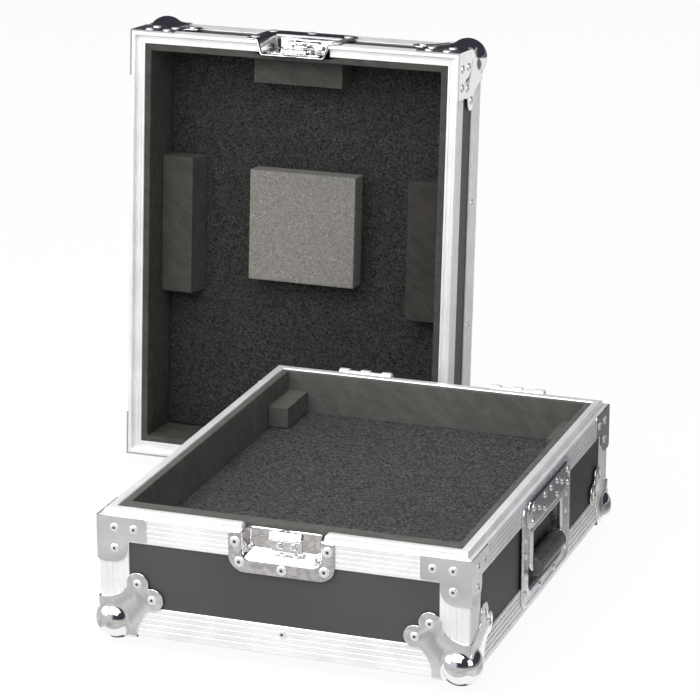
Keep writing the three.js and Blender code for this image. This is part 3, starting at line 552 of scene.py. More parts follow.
def cut_foam(name, colour, streak):
    """Closed-cell foam sawn to size: a fine even skin with slanted saw streaks, rubbed
    paler places and a faint grain."""
    made, n, shader = material(name, metallic=0.0, specular=0.15)
    look = use(n, CELLS, Cell_Size=520.0, Speck_Share=0.985)
    marks = use(n, MARKS, Streak_Length=9.0, Rub_Size=30.0)
    tint = n.mix(marks["Streaks"], shade_of(colour, 1 - streak), shade_of(colour, 1 + streak))
    tint = n.mix(n.times(marks["Rubbed"], 0.5), tint, shade_of(colour, 1.6, lift=0.004))
    tint = n.mix(n.times(look["Patches"], 0.3), tint, shade_of(colour, 0.72))
    tint = n.mix(n.times(look["Grain"], 0.25), tint, shade_of(colour, 0.6))
    rough = n.line(marks["Rubbed"], -0.15, 0.9)
    height = n.line(marks["Streaks"], 0.4, n.times(look["Grain"], 0.4))
    join_up(n, shader, tint, rough, height, strength=0.5, depth=0.0006)
    return made


def rubber(name, colour, roughness):
    """Moulded rubber with a dusty haze."""
    made, n, shader = material(name, metallic=0.0, specular=0.4)
    wear = use(n, WEAR, Cloud_Size=50.0, Scuff_Size=500.0)
    tint = n.mix(wear["Cloud"], shade_of(colour), shade_of(colour, 1.7))
    rough = n.line(wear["Scuffs"], 0.2, roughness)
    join_up(n, shader, tint, rough, wear["Scuffs"], strength=0.3, depth=0.0003)
    return made


ALUMINIUM = satin_aluminium()
SATIN_STEEL = metal("satin steel", (0.70, 0.69, 0.69), roughness=0.28, metallic=0.85,
                    spread=0.14)
PLATED = metal("bright plating", (0.95, 0.94, 0.945), roughness=0.06, dark=0.86)
# its waves are painted reflection bands in its colour
PRESSED = metal("pressed bright plating", (0.88, 0.87, 0.87), roughness=0.1, dent=0.6,
                dent_size=42.0, waves=0.55)
CATCH_PLATED = metal("catch plating", (0.97, 0.97, 0.98), roughness=0.22)
BRACE_PLATED = metal("brace plating", (0.97, 0.96, 0.96), roughness=0.07, dent=0.4,
                     dent_size=50.0, dark=0.86)
HINGE_STEEL = metal("hinge plating", (0.97, 0.97, 0.97), roughness=0.34, metallic=0.45,
                    spread=0.1)
# its waves are painted reflection bands in its colour
LATCH_WORK = metal("latch plating", (0.84, 0.83, 0.85), roughness=0.1, spread=0.06, dent=3.0,
                   dent_size=160.0, waves=0.5)
HANDLE_METAL = metal("handle plating", (0.84, 0.85, 0.89), roughness=0.2, metallic=0.8,
                     spread=0.1, dent=0.8)
RIVET_STEEL = metal("rivet steel", (0.95, 0.95, 0.95), roughness=0.25, metallic=0.75,
                    spread=0.1)
# the mandrel's end: partly its own dark steel, partly painted shade of the bore
MANDREL_AND_BORE_SHADE = metal("broken mandrel and painted bore shade", (0.10, 0.10, 0.12), roughness=0.45, metallic=0.7, spread=0.1)
LAMINATE = laminate()
WALL_FOAM = cut_foam("lid lining foam", (0.055, 0.052, 0.047), streak=0.22)
# painted shade: the lining foam painted darker for the right pillar, on the side away from the
# light
SHADED_PILLAR_FOAM = cut_foam("right pillar foam painted darker", (0.034, 0.0315, 0.028), streak=0.26)
# painted light: the lining foam painted lighter in the base, where the light falls more from the
# front
LIT_BASE_FOAM = cut_foam("base lining foam painted lighter", (0.100, 0.097, 0.090), streak=0.16)
FLOOR_FOAM = foam("floor foam", (0.060, 0.061, 0.064), cell_size=400.0, contrast=1.0,
                  speck_share=0.93, speck=(0.17, 0.17, 0.18), depth=0.0016)
LID_FOAM = foam("lid pad foam", (0.030, 0.0295, 0.030), cell_size=440.0, contrast=1.0,
                speck_share=0.92, speck=(0.10, 0.095, 0.09), depth=0.0016)
GREY_FOAM = foam("grey foam", (0.180, 0.177, 0.163), cell_size=420.0, contrast=0.35,
                 speck_share=0.95, speck=(0.44, 0.43, 0.40), depth=0.0008)
GRIP_RUBBER = rubber("grip rubber", (0.070, 0.069, 0.068), roughness=0.26)
FOOT_RUBBER = rubber("foot rubber", (0.03, 0.03, 0.03), roughness=0.6)

# Every CAD solid gets the finish of its material slot, and the rim braces their own

FINISH = {
    "laminate": LAMINATE, "aluminium": ALUMINIUM, "steel": SATIN_STEEL, "chrome": PLATED,
    "foam": WALL_FOAM, "pad_foam": FLOOR_FOAM, "grey_foam": GREY_FOAM, "rubber": GRIP_RUBBER,
}
slot_of = {s["node"]: s["material_slot"] for s in frame["record"]["subparts"]}
for name, node in frame["nodes"].items():
    node.data.materials.clear()
    node.data.materials.append(BRACE_PLATED if "brace" in name else FINISH[slot_of[name]])

# Aluminium extrusions: a section of (inset, height) rows carried round the case


def ribbed(start, stop, count, depth=0.6, width=1.25):
    """Along a leg from start to stop: distance along it, and depth below its face.
    Each of count lengthwise grooves is a cosine dip, raised to a power below 1 that
    makes it fuller."""
    fullness = 0.6
    middle = start + (stop - start) * np.arange(1, count + 1) / (count + 1)
    share = np.array([-1, -0.6, -0.25, 0.25, 0.6, 1])
    step = share * width / 2
    dip = depth * (0.5 + 0.5 * np.cos(np.pi * share)) ** fullness
    along = middle[:, None] + np.sign(stop - start) * step[None]
    return along.ravel(), np.tile(dip, count)


def edge_angle_section():
    """Outer face of an edge angle round its nose and along both legs, then back."""
    nose_radius = 2.2
    along, dip = ribbed(LEG, nose_radius + 0.2, count=4)
    nose = arc((nose_radius, nose_radius), nose_radius, 180, 270, 5)
    outer = np.concatenate([
        [[0.7, LEG], [0.0, LEG - 0.8]], np.stack([dip, along], -1), nose,
        np.stack([along[::-1], dip[::-1]], -1), [[LEG - 0.8, 0.0], [LEG, 0.7]],
    ])
    inner = np.array([[LEG, EXTRUDED], [EXTRUDED, EXTRUDED], [EXTRUDED, LEG]])
    return np.concatenate([outer, inner])


def base_rim_section():
    """Tongue rim of the base: ribbed outer leg, land, rounded tongue, inner leg."""
    land, foot = BASE_HEIGHT, BASE_HEIGHT - BASE_RIM_LEG
    top = land + TONGUE
    along, dip = ribbed(foot, land - 1, count=4)
    return np.concatenate([
        [[0.6, foot], [0, foot + 0.6]], np.stack([dip, along], -1),
        [[0.0, land - 0.7], [0.6, land]], [[4.7, land]],
        arc((7.0, top - 2.3), 2.3, 180, 90, 6), [[9.5, top - 0.15]],
        arc((12.2, top - 1.7), 1.7, 90, 0, 5),
        [[13.9, land - 9], [9.1, land - 9], [9.1, land - EXTRUDED],
         [EXTRUDED, land - EXTRUDED], [EXTRUDED, foot]],
    ])


def lid_rim_section():
    """Rebated rim of the lid: ribbed outer leg, land, rebate with its seal groove."""
    land, foot = LID_HEIGHT, LID_HEIGHT - LID_RIM_LEG
    floor = land - REBATE
    along, dip = ribbed(foot, land - 1, count=3)
    return np.concatenate([
        [[0.6, foot], [0, foot + 0.6]], np.stack([dip, along], -1),
        [[0.0, land - 0.8], [0.8, land], [3.6, land], [4.4, land - 0.8],
         [4.6, floor + 0.6], [5.2, floor], [7.2, floor], [7.4, floor - 0.35], [7.8, floor - 0.35],
         [8.0, floor], [10.2, floor], [10.2, floor - 0.9], [11.1, floor - 0.9],
         [11.1, floor], [13.3, floor], [13.9, floor - 0.6],
         [13.9, floor - 9], [9.1, floor - 9], [9.1, floor - EXTRUDED],
         [EXTRUDED, floor - EXTRUDED], [EXTRUDED, foot]],
    ])


CORNER_SIGNS = np.array([[1, -1], [1, 1], [-1, 1], [-1, -1]])


def mitred(inset, signs):
    """x and y of a section at the corners: each row of it moves in from the corner by
    its own inset."""
    return signs[:, :1] * (HALF_X - inset[None]), signs[:, 1:] * (HALF_Y - inset[None])


def at_corner(points, corner):
    """Drawings of a corner are at corner 0, at -x -y; the rest follow anticlockwise."""
    sx, sy = CORNER_SIGNS[corner - 1]
    return spun(points, corner) + np.array([sx * HALF_X, sy * HALF_Y, 0])


def ring_of(section):
    """A section carried round all four sides and mitred."""
    inset, height = section.T
    x, y = mitred(inset, CORNER_SIGNS)
    return grid(np.stack([x, y, np.broadcast_to(height, x.shape)], -1),
                wrap_rows=True, wrap_columns=True)


def open_ring_of(section, gap_side, rounding, land):
    """As ring_of, but cut at the latch on the side gap_side (-1 or 1). Towards the cut
    the part above the land sinks along a quarter circle of radius rounding, by
    sink_share of its height."""
    sink_share = 0.8
    inset, height = section.T
    corner_x, corner_y = mitred(inset, CORNER_SIGNS if gap_side < 0 else -CORNER_SIGNS)
    back = np.array([0.0, 0.15, 0.4, 0.75, 1.0]) * rounding
    sink = 1 - np.sqrt(np.maximum(0, 1 - (1 - back / rounding) ** 2)) if rounding else back
    start = -gap_side * (MOUTH_HALF + back)[:, None] + 0 * inset[None]
    stop = start[::-1] * -1
    end_y = gap_side * (HALF_Y - inset)[None] + 0 * start
    raised = np.maximum(height - land, 0)
    lowered = height[None] - sink[:, None] * raised[None] * sink_share
    x = np.concatenate([start, corner_x, stop])
    y = np.concatenate([end_y, corner_y, end_y])
    z = np.concatenate([lowered, np.broadcast_to(height, corner_x.shape), lowered[::-1]])
    return grid(np.stack([x, y, z], -1), wrap_columns=True, cap_rows=True)


def trimmed_ring_of(section, low, high, top):
    """As ring_of, with the leg on the right side cut down to top from low to high,
    where the handle dish passes through it."""
    inset, height = section.T
    x, y = mitred(inset, CORNER_SIGNS)
    z = np.broadcast_to(height, x.shape)
    cut_y = np.array([low, low, high, high])[:, None] + 0 * inset[None]
    cut_x = HALF_X - inset[None] + 0 * cut_y
    short = np.minimum(height, top)
    cut_z = np.stack([height, short, short, height])
    return grid(np.stack([np.insert(x, [1] * 4, cut_x, 0), np.insert(y, [1] * 4, cut_y, 0),
                          np.insert(z, [1] * 4, cut_z, 0)], -1),
                wrap_rows=True, wrap_columns=True)


def posts(low, high):
    """The four upright corner angles: the edge angle's section carried straight up."""
    section = edge_angle_section()
    one = layered([section, section], [low, high])
    return [grid(at_corner(one, corner), wrap_columns=True, cap_rows=True)
            for corner in range(4)]


base_angles = trimmed_ring_of(edge_angle_section(), HANDLE_Y - HANDLE_CUT_HALF,
                              HANDLE_Y + HANDLE_CUT_HALF, HANDLE_CUT_TOP)
lid_angles = ring_of(edge_angle_section())
base_rim = open_ring_of(base_rim_section(), gap_side=-1, rounding=4.0, land=BASE_HEIGHT)
lid_rim = open_ring_of(lid_rim_section(), gap_side=1, rounding=0.0, land=LID_HEIGHT)
for half, place, angles, rim, post_top in (
    ("base", in_base, base_angles, base_rim, BASE_HEIGHT - BASE_RIM_LEG),
    ("lid", in_lid, lid_angles, lid_rim, LID_HEIGHT - LID_RIM_LEG),
):
    piece(f"{half}_edge_angles", [angles] + posts(LEG, post_top), place, half, ALUMINIUM,
          "aluminium", node=[f"{half}_edge_frame"])
    piece(f"{half}_rim_extrusion", [rim], place, half, ALUMINIUM, "aluminium",
          node=[f"{half}_rim_frame"])

# Ball corners

BEND = 0.6
LOBE_SPOT, LOBE_RADIUS = (40.0, 55.0), 11.5
EDGE_FROM, EDGE_TO = 14.0, 38.0
AXIS_TURNS = ([0, 1, 2], [0, 2, 1], [2, 0, 1])   # a drawing laid on each of the three faces


def corner_outline():
    """Outline of one corner plate: up the bent edge, along a hollow curve to two rivet
    lobes and back down, mirrored about the diagonal."""
    hollow = np.array([[BEND, 38.0], [5.5, 38.2], [10.4, 39.2], [15.8, 41.0], [20.8, 43.4],
                       [25.6, 47.0]])
    half = np.concatenate([hollow, arc(LOBE_SPOT, LOBE_RADIUS, 197, -18, 24)])
    return np.concatenate([half, half[::-1, ::-1], [[BEND, BEND]]])[::-1]


def bent_edge(low, high):
    """Strip that bends round one edge of the case between two plates: a quarter ring
    with short flat flanges, drawn out along z."""
    flange, proud = 4.0, 0.04
    centre = np.array([BEND, BEND])
    outer, inner = BEND + GAP + PLATE + proud, BEND + GAP
    bend = np.concatenate([
        [[flange, BEND - outer]], arc(centre, outer, 270, 180, 9), [[BEND - outer, flange]],
        [[BEND - inner, flange]], arc(centre, inner, 180, 270, 5), [[flange, BEND - inner]],
    ])
    return grid(layered([bend, bend], [low, high]), wrap_columns=True, cap_rows=True)


def dome():
    """A ball round the point DOME_CENTRE in from each face; what would lie inside the
    case is pressed flat. Its grid's pole points straight out of the corner, where it
    shows least."""
    polar = np.linspace(0, np.pi, 49)[:, None]
    around = np.linspace(0, 2 * np.pi, 96, endpoint=False)[None]
    axis = np.array([-1, -1, -1]) / math.sqrt(3)
    side = np.array([1, -1, 0]) / math.sqrt(2)
    third = np.cross(axis, side)
    direction = (np.cos(polar)[..., None] * axis
                 + (np.sin(polar) * np.cos(around))[..., None] * side
                 + (np.sin(polar) * np.sin(around))[..., None] * third)
    ball = DOME_CENTRE + DOME_RADIUS * direction
    nearest = np.argmin(ball, -1)[..., None] == np.arange(3)
    inside = ball.min(-1, keepdims=True) > -GAP
    return grid(np.where(inside & nearest, -GAP, ball), wrap_columns=True)


def fillet(radius=10.0):
    """Soft foot of the dome on one plate: an arc that meets the plate and the ball at
    a tangent, carried round the dome where the plate is under it."""
    tuck, sunk, sweep_from, sweep_to = 1.5, 0.4, -46, 136
    plane = GAP + PLATE
    high = plane + radius
    reach = math.sqrt((DOME_RADIUS + radius) ** 2 - (DOME_CENTRE + high) ** 2)
    tilt = math.atan2(DOME_CENTRE + high, reach)
    turn = np.linspace(-np.pi / 2, -np.pi + tilt, 7)
    ring_r = reach + radius * np.cos(turn)
    ring_z = high + radius * np.sin(turn)
    foot_r = np.concatenate([ring_r, [ring_r[-1] - tuck, reach]])
    foot_z = np.concatenate([ring_z, [plane - sunk, plane - sunk]])
    around = np.radians(np.linspace(sweep_from, sweep_to, 60))[:, None]
    x = DOME_CENTRE + foot_r[None] * np.cos(around)
    y = DOME_CENTRE + foot_r[None] * np.sin(around)
    return grid(np.stack([x, y, -foot_z[None] + 0 * x], -1), wrap_columns=True, cap_rows=True)


def corner_parts():
    """A plate on each face, the dome, and its foot and a bent edge on each face."""
    flat, plate_faces = sheet_plate(corner_outline(), PLATE, roll=0.5)
    flat[:, 2] = -GAP - flat[:, 2]
    made = [(flat[:, turn], plate_faces) for turn in AXIS_TURNS] + [dome()]
    for points, faces in (fillet(), bent_edge(EDGE_FROM, EDGE_TO)):
        made += [(points[:, turn], faces) for turn in AXIS_TURNS]
    return made


BASE_CORNERS = ["latch_left", "latch_right", "hinge_right", "hinge_left"]
LID_CORNERS = ["hinge_left", "hinge_right", "latch_right", "latch_left"]
corner_shape = corner_parts()
for half, names, place in (("base", BASE_CORNERS, in_base), ("lid", LID_CORNERS, in_lid)):
    for index, corner in enumerate(names):
        piece(f"{half}_pressed_corner_{corner}", corner_shape,
              lambda p: place(at_corner(p, index)), half, PLATED, "chrome",
              node=[f"{half}_ball_corner_{corner}"], smooth=50)

# Latch dishes and handle dish


def u_curve(half, low, top, radius, count=9):
    """Open curve down the left, round two corners and up the right."""
    side = np.linspace(top, low + radius, count)
    bottom = np.linspace(-half + radius, half - radius, count)[1:-1]
    return np.concatenate([
        np.stack([-half + 0 * side, side], -1)[:-1],
        arc((-half + radius, low + radius), radius, 180, 270, count),
        np.stack([bottom, low + 0 * bottom], -1),
        arc((half - radius, low + radius), radius, 270, 360, count),
        np.stack([half + 0 * side, side[::-1]], -1)[1:],
    ])


MOUTH_RISE = 1.3


def latch_dish(rim, plate_height, recess_height, slope):
    """Pressed dish open at the rim: one open curve per row, from the edge of the
    flange over the rolled mouth and down the drafted wall to the middle of the floor.
    The wall across its bottom climbs by slope. A row is (half width, height of its
    bottom, corner radius, out, height of its top)."""
    low = rim - recess_height
    foot = rim - plate_height
    up = rim + MOUTH_RISE
    rows = [
        (54.5, foot, 17.0, 0.35, rim), (54.5, foot, 17.0, 1.0, rim),
        (54.0, foot + 0.5, 16.5, 1.5, rim),
        (43.5, low - 3.5, 12.5, 1.5, rim), (42.0, low - 2.0, 11.2, 1.25, up - 0.5),
        (40.9, low - 0.9, 10.2, 0.5, up), (40.2, low - 0.1, 9.6, -0.9, up),
        (37.6, low + slope * 0.62, 8.6, -10.5, up), (36.9, low + slope * 0.8, 8.0, -13.0, up),
        (36.0, low + slope * 0.93, 7.2, -14.5, up), (34.8, low + slope * 1.05, 6.0, -15.0, up),
        (30.0, low + slope * 1.3, 4.0, -15.1, up),
        (12.0, low + slope * 1.6, 1.0, -15.0, up), (0.01, low + slope * 1.62, 0.005, -15.0, up),
    ]
    return grid(np.stack([at_depth(u_curve(half, bottom, top, radius), out)
                          for half, bottom, radius, out, top in rows]))


def shell(made):
    """Gives a pressed sheet its thickness, away from the side that shows."""
    solidify = made.modifiers.new("sheet", "SOLIDIFY")
    solidify.thickness = PRESSED_SHEET * MM
    solidify.offset = -1


def faced_out(made, towards):
    """Turns an open sheet so that its faces look the given way on the whole."""
    mesh = made.data
    normal = np.zeros(len(mesh.polygons) * 3)
    area = np.zeros(len(mesh.polygons))
    mesh.polygons.foreach_get("normal", normal)
    mesh.polygons.foreach_get("area", area)
    if (normal.reshape(-1, 3) * area[:, None]).sum(0) @ np.array(towards) < 0:
        mesh.flip_normals()
    return made


base_dish = latch_dish(BASE_HEIGHT, plate_height=41, recess_height=26, slope=6.2)
lid_dish = latch_dish(LID_HEIGHT, plate_height=76, recess_height=59, slope=6.0)
for half, dish, place, outwards in (
    ("base", base_dish, on_base_front, (0, -1, 0)),
    ("lid", lid_dish, lambda p: in_lid(on_rear(p)), (0, 0, 1)),
):
    made = piece(f"{half}_latch_pressing", [dish], place, half, PRESSED, "chrome",
                 node=[f"{half}_latch_dish"])
    shell(faced_out(made, outwards))


def handle_dish():
    """Pressed dish of the handle: one closed outline per row, from the edge of the
    flange over a raised bead and down into the recess, ending at the floor's middle.
    A row is (half length, low, high, corner radius, out)."""
    rows = [
        (84.0, 7.0, 121.5, 16.0, 0.35), (84.0, 7.0, 121.5, 16.0, 1.2),
        (83.2, 7.8, 120.7, 15.2, 2.2), (81.6, 9.4, 119.1, 13.8, 2.5),
        (80.2, 10.8, 117.7, 12.6, 2.0), (79.2, 11.8, 116.7, 11.8, 1.5),
        (62.5, 17.5, 99.5, 10.5, 1.5), (60.6, 19.4, 97.6, 9.4, 1.1), (59.3, 20.7, 96.3, 8.4, 0.0),
        (58.6, 21.4, 95.6, 8.0, -2.0), (57.2, 22.8, 94.2, 7.2, -12.0),
        (55.6, 24.4, 92.6, 6.4, -13.7), (52.0, 28.0, 89.0, 5.0, -14.0),
        (4.0, 54.0, 63.0, 1.0, -14.0),
    ]
    curves = [at_depth(rounded_rectangle(half, low, high, radius), out)
              for half, low, high, radius, out in rows]
    points, faces = grid(np.stack(curves), wrap_columns=True)
    return points, faces + [list(range(len(points) - len(curves[0]), len(points)))]


def beside_handle(points):
    """Drawings of the handle are (along, up, out) from its middle."""
    return in_base(on_right(points) + np.array([0, HANDLE_Y, 0]))


made = piece("base_handle_pressing", [handle_dish()], beside_handle, "base", HANDLE_METAL,
             "chrome", node=["base_handle_dish"])
shell(faced_out(made, (1, 0, 0)))


def handle_cover():
    """Raised cover over the hinge of the bail: an outline drawn in towards its middle
    by a share per row while it rises, which makes a crowned plate."""
    outline = rounded_rectangle(half_x=71, low=89.2, high=118, radius=9, count=8)
    middle = np.array([0, 103.6])
    share = np.array([1.0, 1.0, 0.985, 0.95, 0.86, 0.6, 0.3, 0.02])
    height = np.array([1.8, 3.4, 4.6, 5.4, 5.75, 5.9, 5.95, 6.0])
    rings = middle + (outline - middle)[None] * share[:, None, None]
    return grid(layered(rings, height), wrap_columns=True, cap_rows=True)


def dome_at(x, y, out, radius, height, count=14):
    """A small pressed dome on a drawing: a quarter of an oval, made fuller by a power
    below 1, turned round. Its edge is sunk into what carries it."""
    fullness, sunk = 0.8, 0.4
    turn = np.radians(np.linspace(0, 90, 5))
    profile = np.stack([radius * np.cos(turn) ** fullness, height * np.sin(turn)], -1)
    profile = np.concatenate([[[radius, -sunk]], profile])
    profile[-1, 0] = 0.0
    points, faces = turned_round(profile, count)
    return points + np.array([x, y, out]), faces


COVER_STUDS = [(-60, 111), (60, 111), (-62, 97), (62, 97), (-22, 112), (22, 112), (0, 112),
               (-22, 98), (22, 98), (-40, 105), (40, 105)]
hood = [handle_cover()] + [dome_at(x, y, out=5.7, radius=4.0, height=2.1, count=12)
                           for x, y in COVER_STUDS]
piece("base_handle_hood", hood, beside_handle, "base", PLATED, "chrome",
      node=["base_handle_cover"])

AXIS_UP, AXIS_OUT, ARM, DROP = 84.0, 0.5, 53.0, 43.0
WIRE, WIRE_BEND, ROD_HALF = 3.1, 9, 60.2
GRIP_HALF, GRIP_RADIUS, GRIP_CROWN = 44, 10.4, 0.5
END_FROM, END_DRAWN_IN = 0.93, 0.32             # shares of the grip's length and radius
LINES, LINE_DEPTH = 18, 0.12
GROOVE_AT, GROOVE_WIDTH, GROOVE_DEPTH = 0.9, 0.018, 0.9


def tube_along(path, radius, count=16):
    """A circle of radius carried along a path in a plane of constant out."""
    step = np.gradient(path, axis=0)
    step /= np.linalg.norm(step, axis=1, keepdims=True)
    normal = np.stack([-step[:, 1], step[:, 0]], -1)
    angle = np.linspace(0, 2 * np.pi, count, endpoint=False)
    across = path[:, None] + normal[:, None] * (radius * np.cos(angle))[None, :, None]
    out = np.broadcast_to((AXIS_OUT + radius * np.sin(angle))[None, :, None],
                          across.shape[:2] + (1,))
    return grid(np.concatenate([across, out], -1), wrap_columns=True, cap_rows=True)


def bail_path():
    """Down one arm, round a bend, along the grip, and up the other arm."""
    low = AXIS_UP - DROP
    left = np.stack([np.full(8, -ARM), np.linspace(AXIS_UP, low + WIRE_BEND, 8)], -1)
    bend = arc((-ARM + WIRE_BEND, low + WIRE_BEND), WIRE_BEND, 180, 270, 10)[1:]
    half = np.concatenate([left, bend])
    return np.concatenate([half, half[::-1] * np.array([-1, 1])])


rod = np.stack([np.linspace(-ROD_HALF, ROD_HALF, 12), np.full(12, AXIS_UP)], -1)
piece("base_handle_wire", [tube_along(path, WIRE) for path in (bail_path(), rod)],
      beside_handle, "handle", PLATED, "chrome", node=["base_handle_bail"])


def grip():
    """Rubber grip: a profile turned round the bail's lower run, its ends rounded and
    its middle a little fuller, with shallow moulding lines along it and a ring groove
    before each end."""
    t = np.linspace(-1, 1, 111)[:, None]
    angle = np.linspace(0, 2 * np.pi, 72, endpoint=False)[None]
    end = np.clip((np.abs(t) - END_FROM) / (1 - END_FROM), 0, 1)
    lines = LINE_DEPTH * (0.5 + 0.5 * np.cos(LINES * angle)) * (1 - end)
    groove = GROOVE_DEPTH * np.exp(-((np.abs(t) - GROOVE_AT) / GROOVE_WIDTH) ** 2)
    radius = (GRIP_RADIUS + GRIP_CROWN * (1 - t ** 2)) * (1 - END_DRAWN_IN * end ** 2)
    radius = radius - lines - groove
    return grid(np.stack([GRIP_HALF * t + 0 * angle,
                          AXIS_UP - DROP + radius * np.cos(angle),
                          AXIS_OUT + radius * np.sin(angle)], -1),
                wrap_columns=True, cap_rows=True)


piece("base_handle_rubber", [grip()], beside_handle, "handle", GRIP_RUBBER, "rubber",
      node=["base_handle_grip"])

# Rivets: domed heads with the end of the mandrel in the middle, painted dark for the shade in its
# bore

RIVET_HEAD, DISH_RIVET_HEAD, FLANGE_OUT = 4.6, 5.3, 1.45


def rivet(radius, count=14):
    """Two profiles turned round: the head, and the mandrel's end in its bore."""
    head = np.array([[radius, -0.3], [radius, 0.25], [radius * 0.93, 0.75], [radius * 0.72, 1.2],
                     [radius * 0.45, 1.4], [radius * 0.33, 1.25]])
    bore = np.array([[radius * 0.33, 1.25], [radius * 0.28, 0.95], [0.0, 1.1]])
    return turned_round(head, count) + (0,), turned_round(bore, count) + (1,)


def rivets_at(spots, side, out=0.0, radius=RIVET_HEAD):
    """A rivet at each spot of a side's drawing, out from its face."""
    return [(side(points + np.array([x, y, out])), faces, mark)
            for x, y in spots for points, faces, mark in rivet(radius)]


def mirrored(spots):
    """Spots on the right, and the same on the left."""
    return spots + [(-x, y) for x, y in spots]


LOBE_SPOTS = [LOBE_SPOT, LOBE_SPOT[::-1]]
BRACE_SPOTS = [(17.0, 11.7), (37.5, 11.7), (17.0, 33.0)]
SIDES = [(on_front, HALF_X), (on_rear, HALF_X), (on_right, HALF_Y), (on_left, HALF_Y)]
# (across, up) of the dish flanges' rivets, and of those in the edge angles by side
BASE_DISH_SPOTS = [(-47.2, 113), (-43, 92.6), (0.5, 89), (44, 92.9), (47.5, 113.8)]
LID_DISH_SPOTS = [(49, 70), (47, 18), (2, 16), (-43, 23), (-48, 74)]
BASE_ANGLE_SPOTS = [(on_front, [(0, 22.4)]), (on_rear, [(0, 22.4)]),
                    (on_left, [(-110, 22.4), (110, 22.4)])]
LID_ANGLE_SPOTS = [(on_right, [(69.5, 20.0), (-68.5, 20.0)]),
                   (on_left, [(-69.5, 20.0), (68.5, 20.0)])]


def half_rivets(height, dish_side, dish_spots, angle_spots):
    """Rivets of the corner plates and braces on the four standing sides, of the corner
    plates on the closed face, of the latch dish and of the edge angles."""
    made = []
    for side, half in SIDES:
        spots = mirrored([(half - x, y) for x, y in LOBE_SPOTS])
        spots += mirrored([(half - x, height - y) for x, y in BRACE_SPOTS])
        made += rivets_at(spots, side, GAP + PLATE)
    closed = [(sx * (HALF_X - x), sy * (HALF_Y - y)) for sx in (-1, 1) for sy in (-1, 1)
              for x, y in LOBE_SPOTS]
    made += rivets_at(closed, on_closed, GAP + PLATE)
    made += rivets_at(dish_spots, dish_side, FLANGE_OUT, DISH_RIVET_HEAD)
    for side, spots in angle_spots:
        made += rivets_at(spots, side)
    return made


piece("base_rivets", half_rivets(BASE_HEIGHT, on_front, BASE_DISH_SPOTS, BASE_ANGLE_SPOTS),
      in_base, "base", RIVET_STEEL, "steel", second=MANDREL_AND_BORE_SHADE)
piece("lid_rivets", half_rivets(LID_HEIGHT, on_rear, LID_DISH_SPOTS, LID_ANGLE_SPOTS),
      in_lid, "lid", RIVET_STEEL, "steel", second=MANDREL_AND_BORE_SHADE)

# Plain domed heads of the handle's flange and of the catch, which lies on the floor
# of the dish. Its floor and the face of what lies on it are measured outwards.

HEAD_HEIGHT = 1.5
FLOOR_OUT, MOUNT_OUT = -14.7, -13.5
HANDLE_SPOTS = [(-69.5, 62.6), (69.5, 62.6), (-22, 14.3), (29, 14.3), (-71, 22), (71, 22),
                (-72, 80), (72, 80)]
CATCH_SPOTS = [(-6.5, 108.7), (7.5, 108.7)]
piece("base_handle_rivets",
      [dome_at(x, y, out=1.5, radius=3.6, height=HEAD_HEIGHT) for x, y in HANDLE_SPOTS],
      beside_handle, "base", RIVET_STEEL, "steel")
piece("base_catch_rivets",
      [dome_at(x, y, MOUNT_OUT, radius=3.7, height=HEAD_HEIGHT) for x, y in CATCH_SPOTS],
      on_base_front, "base", PLATED, "steel")


def catch_plate():
    """Catch plate on the floor of the base's dish: a bent strip, carried across the
    width, whose top curls out into the lip that the hook pulls on. Its ends are drawn
    in a little towards the middle of the section."""
    top = BASE_HEIGHT
    out = np.concatenate([
        [[FLOOR_OUT, top - 20], [MOUNT_OUT, top - 20], [MOUNT_OUT, top - 9.6]],
        arc((-12.4, top - 9.6), 1.1, 180, 90, 4)[1:], arc((-9.6, top - 7.4), 1.1, -90, 32, 6),
        arc((-12.4, top - 1.2), 1.0, 32, 150, 6), arc((-10.6, top - 6.0), 0.6, 200, 270, 3),
        [[-12.6, top - 7.4], [FLOOR_OUT, top - 8.4]],
    ])
    x = np.array([-16.0, -15.4, 15.4, 16.0])
    drawn_in = np.array([0.07, 0.0, 0.0, 0.07])[:, None, None]
    rows = out[None] + (out.mean(0) - out)[None] * drawn_in
    return grid(np.concatenate([np.broadcast_to(x[:, None, None], rows.shape[:2] + (1,)),
                                rows[..., 1:], rows[..., :1]], -1),
                wrap_columns=True, cap_rows=True)


piece("base_catch_hook", [catch_plate()], on_base_front, "base", CATCH_PLATED, "steel",
      node=["base_catch_plate"])

# Latch mechanism of the lid, drawn in (across, up, out) like its dish, from its axle

LATCH_UP = LID_HEIGHT - 33
HOOK_BACK, HOOK_FRONT = -11.1, -9.1
EAR_BACK = -6.9


def in_lid_dish(points):
    """From the latch's axle to the shared frame."""
    return in_lid(on_rear(points + np.array([0, LATCH_UP, 0])))


def cut_sheet(outline, back, front, roll):
    """A flat outline as a rolled-edge plate between two depths."""
    return moved(sheet_plate(outline, front - back, roll), lambda p: p + np.array([0, 0, back]))


def bar(middle, half, low, high, back, front, roll):
    """Straight bar with a rounded outer edge, half its width on each side of middle."""
    outline = rounded_rectangle(half, low, high, min(half, roll) * 0.98, 3)
    return cut_sheet(outline + np.array([middle, 0]), back, front, roll * 0.7)


def axle(radius, back, front):
    """A pin turned round, with a chamfered and slightly sunk end."""
    profile = np.array([[radius, back], [radius, front - 0.5], [radius - 0.5, front],
                        [radius * 0.4, front], [0, front - 0.4]])
    return turned_round(profile, 20)


